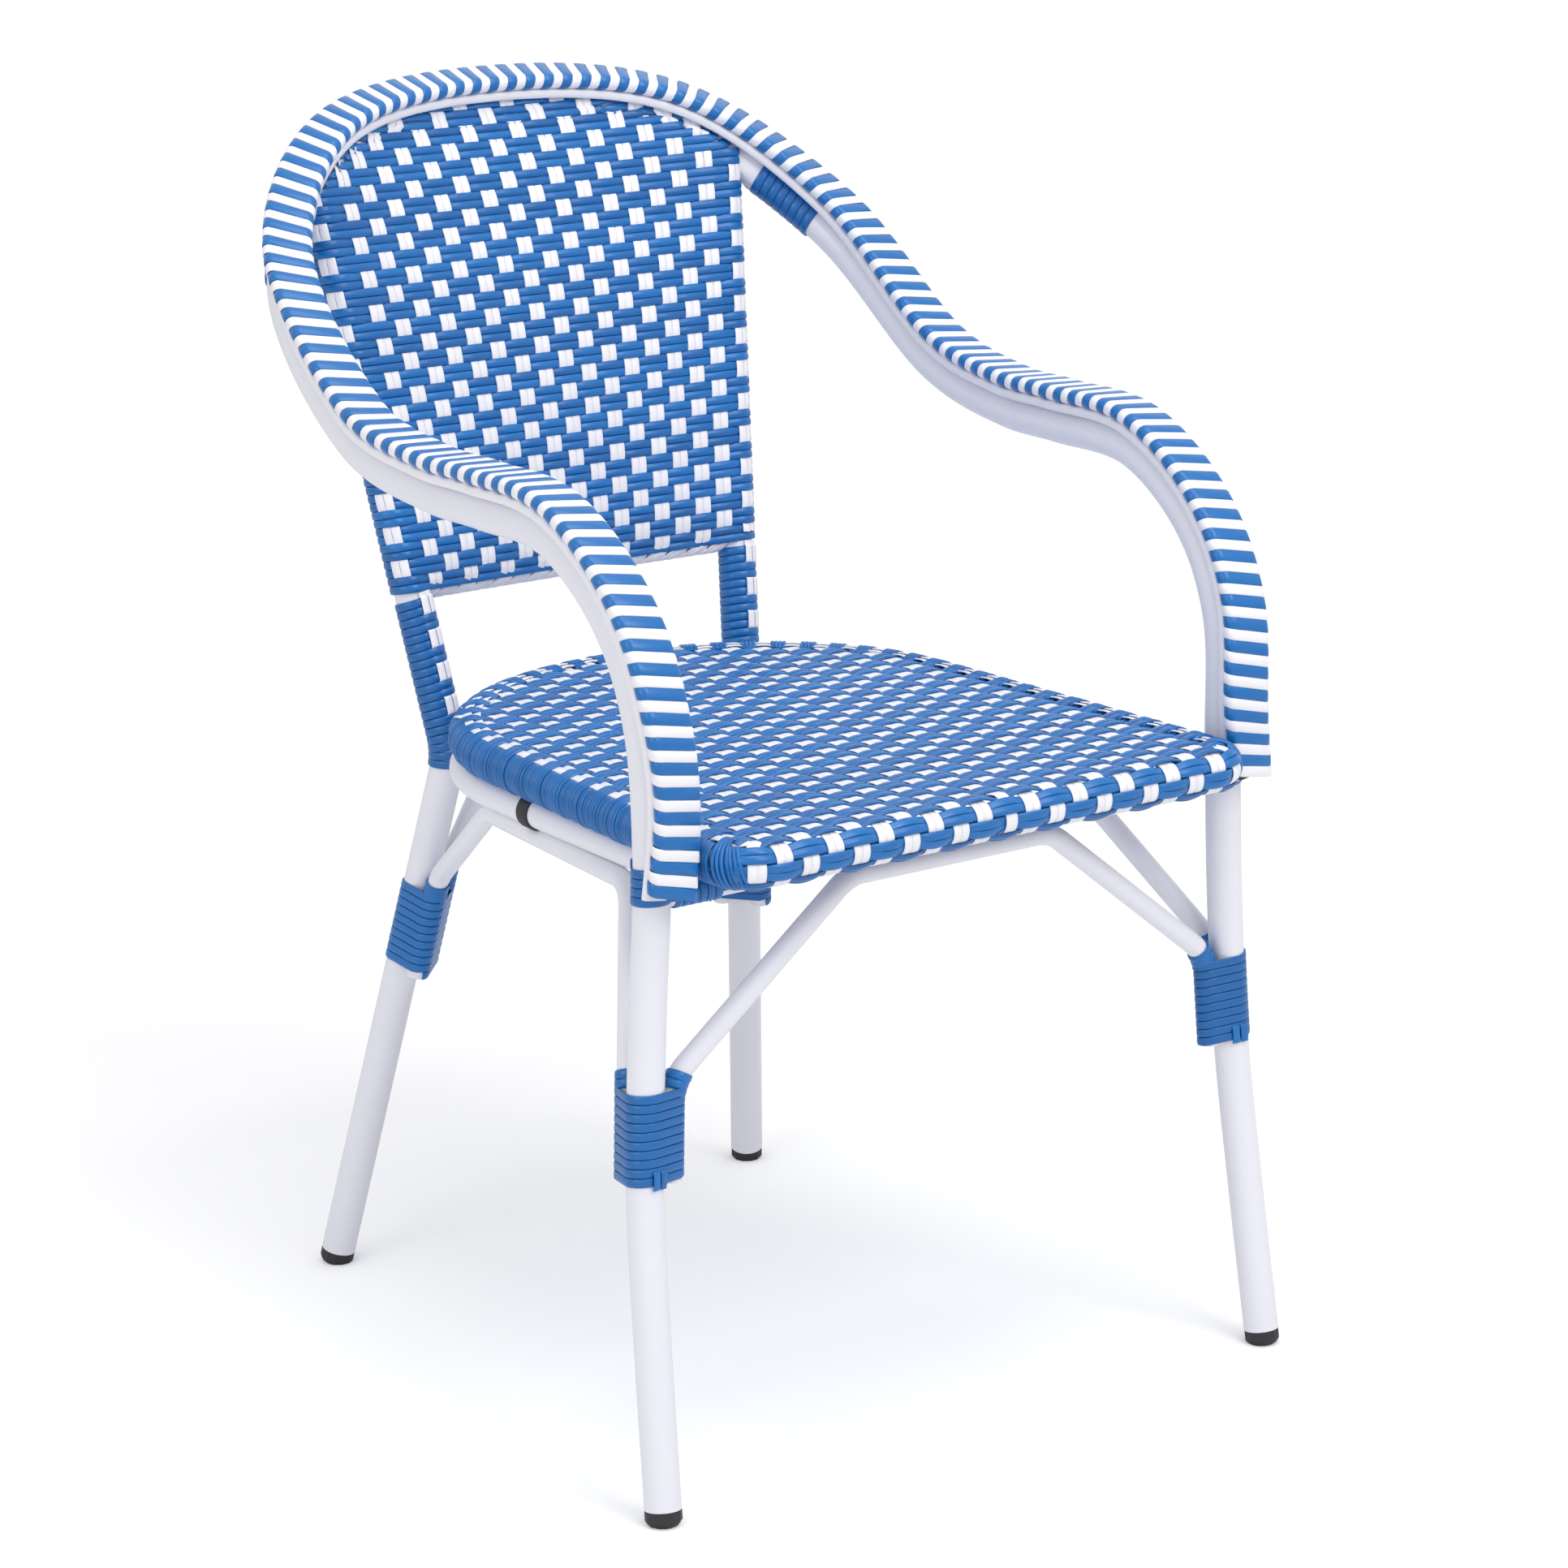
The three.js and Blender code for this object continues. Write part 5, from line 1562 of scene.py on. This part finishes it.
def bind_joint(node, frame_at, lines, toward):
    """Binds a leg to the ends of its two braces, with the tie on the side that is asked for."""
    paths = [winding(frame_at, LEG_TURNS, TUBE / 2, lines)]
    wrap_top = frame_at(LEG_TURNS * WIND_PITCH)[0][2]
    for line in lines:
        both_ways = (line, line[::-1])
        line = min(both_ways, key=lambda way: np.linalg.norm(way[0] - frame_at(0)[0]))
        start = length_at_height(line, wrap_top) - COLLAR_START
        collar = line_frame(line, start, BACK)
        paths.append(winding(collar, COLLAR_TURNS, BRACE / 2, pitch=COLLAR_PITCH))
    paths += [tie(frame_at, lines, toward, offset) for offset in (-TIE_OFFSET, TIE_OFFSET)]
    wind(node, paths)


for name, side in SIDES.items():
    start = length_at_height(hoop_points, FRONT_WRAP_HEIGHT + WIND_WIDTH / 2)
    toward = unit(np.array([-TIE_INWARD * side, -1, 0]))
    lines = [braces["front"], braces[name]]
    bind_joint(f"front_leg_wrap_{name}", frames_along_hoop(side, start, -side), lines, toward)
    toward = unit(np.array([-side, 1, 0]))
    lines = [braces["rear"], braces[name]]
    frame_at = frames_up_leg(side, REAR_WRAP_HEIGHT + WIND_WIDTH / 2)
    bind_joint(f"rear_leg_wrap_{name}", frame_at, lines, toward)

# %% [markdown]
# Below the back the winding goes on down each upright to the seat rail. The white double strand of the
# edge lies over two turns and under the next two. Where it goes under, the turns step over it.

# %% White strand over and under the winding of an upright
TAIL_FOOT = 38
TAIL_OVERRUN = 4
TAIL_STEPS = 6
TAIL_ANGLE = math.pi + math.radians(18)
UNDER_LIFT = 0.2
OVER_TURNS_LIFT = 1.5
CROSSING_SHARPNESS = 3


def tail_wave(length):
    """Above 0 where the winding steps over the white strand, at a distance along the upright."""
    turns = length / WIND_PITCH - TAIL_ANGLE / math.tau - 0.5
    return float(flattened(math.cos(QUARTER * turns - QUARTER / 2)))


def over_white(length, angle):
    """Lift of an upright's winding, which steps over the white strand where that one goes under."""
    crossing = max(0.0, math.cos(angle - TAIL_ANGLE)) ** CROSSING_SHARPNESS
    return WIND_LIFT + OVER_TURNS_LIFT * max(0.0, tail_wave(length)) * crossing


def tail(frame_at, end, pair):
    """White strand down an upright: it lies over two turns of the winding and under the next two."""
    path = []
    angle = TAIL_ANGLE + pair * DOUBLE_OFFSET / (TUBE / 2 + WIND)
    for length in np.arange(TAIL_FOOT, end, WIND_PITCH / TAIL_STEPS):
        lift = UNDER_LIFT if tail_wave(length) > 0 else OVER_TURNS_LIFT
        path.append(taut_point(frame_at, length, angle, [(0.0, 0.0, TUBE / 2)], lift))
    points, facings = zip(*path)
    return np.array(points), np.array(facings)


print(f"the white strand of an upright goes on for {TAIL_OVERRUN} mm under the weave")

# %% Windings on uprights, leg tops, front rail and arch
LEG_TOP_WRAP = 415
LEG_TOP_TURNS = 4.2
ARCH_WRAP_OFFSET = 36.5
ARCH_TURNS = 8.5
ARCH_PITCH = 7.0
ARCH_STRAND_WIDTH = 6.9
UPRIGHT_WRAP_START = 393
WEAVE_EDGE = FIRST_ROW - PAIR_OFFSET - STRAND_WIDTH
FRONT_RAIL_TURNS = 6.8
FRONT_RAIL_MARGIN = 3
wrap_start = path_lengths(front_rail)[-1] - FRONT_RAIL_MARGIN
white_tails = []
for name, side in SIDES.items():
    flip = MIRROR if side < 0 else 1
    frame_at = frames_along_hoop(side, length_at_height(hoop_points, LEG_TOP_WRAP), -side)
    wind(f"leg_top_wrap_{name}", [winding(frame_at, LEG_TOP_TURNS, TUBE / 2)])
    frame_at = frames_along_hoop(side, arch_joint - ARCH_WRAP_OFFSET, side)
    path = winding(frame_at, ARCH_TURNS, TUBE / 2, pitch=ARCH_PITCH)
    wind(f"arch_wrap_{name}", [path], ARCH_STRAND_WIDTH)
    leg_line = rear_line * flip
    wrapped = length_at_height(leg_line, WEAVE_EDGE) - length_at_height(leg_line, UPRIGHT_WRAP_START)
    frame_at = frames_up_leg(side, UPRIGHT_WRAP_START)
    white_tails += [tail(frame_at, wrapped + TAIL_OVERRUN, pair) for pair in PAIR]
    wind(f"upright_wrap_{name}", [winding(frame_at, wrapped / WIND_PITCH, TUBE / 2, lift=over_white)])
    frame_at = line_frame(front_rail * flip, wrap_start, UP, -1)
    wind(f"front_rail_wrap_{name}", [winding(frame_at, FRONT_RAIL_TURNS, FRONT_RAIL / 2)])
sweep(
    "upright_white_tails", white_tails, STRAND, STRAND_WIDTH, white_strand,
    squareness=WHITE_SQUARENESS,
)

# %% [markdown]
# ## Bumpers and glides
# The two rubber bumpers are turned shapes, so a profile spun round the rail's axis makes them. The foot
# glides and the hidden rim tube keep the meshes of the frame, which have the right form, and only get a
# material.

# %% Spun pieces
SPIN_SIDES = 48
NEARLY_ALONG = 0.8


def spun(name, profile, origin, axis, finish, replaced):
    """A closed profile of radius and height, spun round an axis through the origin."""
    across = across_from(axis, BACK if abs(axis[1]) < NEARLY_ALONG else RIGHT)
    aside = np.cross(axis, across)
    angles = np.linspace(0, 2 * math.pi, SPIN_SIDES, endpoint=False)
    ring = across * np.cos(angles)[:, None] + aside * np.sin(angles)[:, None]
    points, faces = [], []
    for radius, height in profile:
        points.extend(origin + axis * height + ring * radius)
    count = len(profile)
    for k in range(count):
        for i in range(SPIN_SIDES):
            j = (i + 1) % SPIN_SIDES
            a, b = k * SPIN_SIDES, ((k + 1) % count) * SPIN_SIDES
            faces.append((a + i, a + j, b + j, b + i))
    mesh = bpy.data.meshes.new(name)
    mesh.from_pydata((np.array(points) * MM).tolist(), [], faces)
    mesh.validate()
    mesh.polygons.foreach_set("use_smooth", [True] * len(mesh.polygons))
    mesh.materials.append(finish)
    piece = bpy.data.objects.new(name, mesh)
    bpy.context.scene.collection.objects.link(piece)
    return keep_piece(piece, replaced)


# %% Bumpers
BUMPER_FORWARD = 42
BUMPER_WIDTH = 13
BUMPER_THICKNESS = 1.5
BUMPER_TUCK = 0.3
BUMPER_EDGE = [(0.8, 0.0), (0.2, 0.3), (0.0, 1.2)]
inner, outer, half_long = RAIL / 2 - BUMPER_TUCK, RAIL / 2 + BUMPER_THICKNESS, BUMPER_WIDTH / 2
low_half = [(inner, -half_long)] + [(outer - less, inset - half_long) for less, inset in BUMPER_EDGE]
profile = low_half + [(radius, -height) for radius, height in reversed(low_half)]
slope = (RAIL_FRONT_HALF_WIDTH - RAIL_HALF_WIDTH) / FRONT_RAIL_FORWARD
for name, side in SIDES.items():
    middle = place(side * (RAIL_HALF_WIDTH + slope * BUMPER_FORWARD), -BUMPER_FORWARD, RAIL_HEIGHT)
    axis = unit(np.array([-side * slope, 1.0, 0.0]))
    spun(f"bumper_{name}_rubber", profile, middle, axis, black_rubber, [f"bumper_{name}"])
print("a bumper's profile has", len(profile), "corners")

# %% Nodes that keep their own mesh
glides = [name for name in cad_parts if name.startswith("foot_glide")]
finishes = {**{name: black_rubber for name in glides}, "seat_rim_tube": coat}
for name, finish in finishes.items():
    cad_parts[name].data.materials.clear()
    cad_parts[name].data.materials.append(finish)
print("kept with their own mesh:", list(finishes))

# %% [markdown]
# ## Floor and light
# The photograph has a plain white ground and a soft shadow under the chair. The world shows white to the
# camera, and so does the far floor, because the floor glows to the camera and does so more with distance.
# Near the chair the glow is weaker, so the shadow stays. The soft key lamp is ahead and above, a second
# one hangs over the chair and a weaker one stands at the left. The world fills the shade.

# %% Floor's material
SHADE_REACH = 0.8
WHITE_REACH = 4.0
NEAR_GLOW = 0.25
FAR_GLOW = 0.45
FLOOR_ROUGHNESS = 0.9
WHITE = (1, 1, 1, 1)


def floor_material():
    material, tree, shader = new_material("pale floor", "#F4F4F6", FLOOR_ROUGHNESS)
    rays = add_node(tree, "ShaderNodeLightPath")
    position = add_node(tree, "ShaderNodeTexCoord").outputs["Object"]
    away = add_node(tree, "ShaderNodeVectorMath", {"operation": "LENGTH"}, None, {0: position})
    brighter = add_node(
        tree, "ShaderNodeMapRange",
        values={
            "From Min": SHADE_REACH, "From Max": WHITE_REACH, "To Min": NEAR_GLOW, "To Max": FAR_GLOW,
        },
        links={"Value": away.outputs["Value"]},
    )
    glow = add_node(
        tree, "ShaderNodeEmission", values={"Color": WHITE},
        links={"Strength": brighter.outputs["Result"]},
    )
    plain = add_node(tree, "ShaderNodeEmission", values={"Color": WHITE, "Strength": 0.0})
    seen = add_node(
        tree, "ShaderNodeMixShader", None, None,
        {0: rays.outputs["Is Camera Ray"], 1: plain.outputs[0], 2: glow.outputs[0]},
    )
    total = add_node(tree, "ShaderNodeAddShader", None, None, {0: shader.outputs[0], 1: seen.outputs[0]})
    tree.links.new(total.outputs[0], tree.nodes["Material Output"].inputs["Surface"])
    return material


floor_finish = floor_material()
print(floor_finish.name, "with", len(floor_finish.node_tree.nodes), "nodes")

# %% Floor
FLOOR_SIZE = 30
edge = FLOOR_SIZE / 2
corners = [(-edge, -edge, 0), (edge, -edge, 0), (edge, edge, 0), (-edge, edge, 0)]
mesh = bpy.data.meshes.new("floor")
mesh.from_pydata(corners, [], [(0, 1, 2, 3)])
mesh.materials.append(floor_finish)
floor = bpy.data.objects.new("floor", mesh)
bpy.context.scene.collection.objects.link(floor)
print(f"floor: {FLOOR_SIZE} m wide")

# %% World
FILL = 0.57
world = bpy.data.worlds.new("white surroundings")
world.use_nodes = True
bpy.context.scene.world = world
tree = world.node_tree
background = tree.nodes["Background"]
rays = add_node(tree, "ShaderNodeLightPath")
seen = add_node(
    tree, "ShaderNodeMath", {"operation": "ADD", "use_clamp": True}, None,
    {0: rays.outputs["Is Camera Ray"], 1: rays.outputs["Is Glossy Ray"]},
)
seen = add_node(
    tree, "ShaderNodeMath", {"operation": "ADD", "use_clamp": True}, None,
    {0: seen.outputs[0], 1: rays.outputs["Is Transmission Ray"]},
)
strength = add_node(
    tree, "ShaderNodeMapRange", values={"To Min": FILL, "To Max": 1.0}, links={"Value": seen.outputs[0]}
)
background.inputs["Color"].default_value = WHITE
tree.links.new(strength.outputs["Result"], background.inputs["Strength"])
print(f"the world gives {FILL} as light and 1 to the camera")

# %% Lamps
def lamp(name, azimuth, elevation, distance, size, power):
    """A soft square lamp that looks at the middle of the chair."""
    data = bpy.data.lights.new(name, "AREA")
    data.size = size
    data.energy = power
    lamp_object = bpy.data.objects.new(name, data)
    azimuth, elevation = math.radians(azimuth), math.radians(elevation)
    lamp_object.location = TARGET * MM + outward(azimuth, elevation) * distance
    lamp_object.rotation_euler = (QUARTER - elevation, 0, azimuth)
    bpy.context.scene.collection.objects.link(lamp_object)


lamp("key lamp", azimuth=8, elevation=42, distance=3.2, size=1.5, power=31)
lamp("top lamp", azimuth=0, elevation=80, distance=3.0, size=2.0, power=32)
lamp("left lamp", azimuth=-80, elevation=22, distance=3.4, size=1.6, power=17)

# %% [markdown]
# ## Faces
# The last cell counts the faces of the dressed pieces.

# %% Face count
print("faces:", sum(pieces.values()), "in", len(pieces), "pieces")
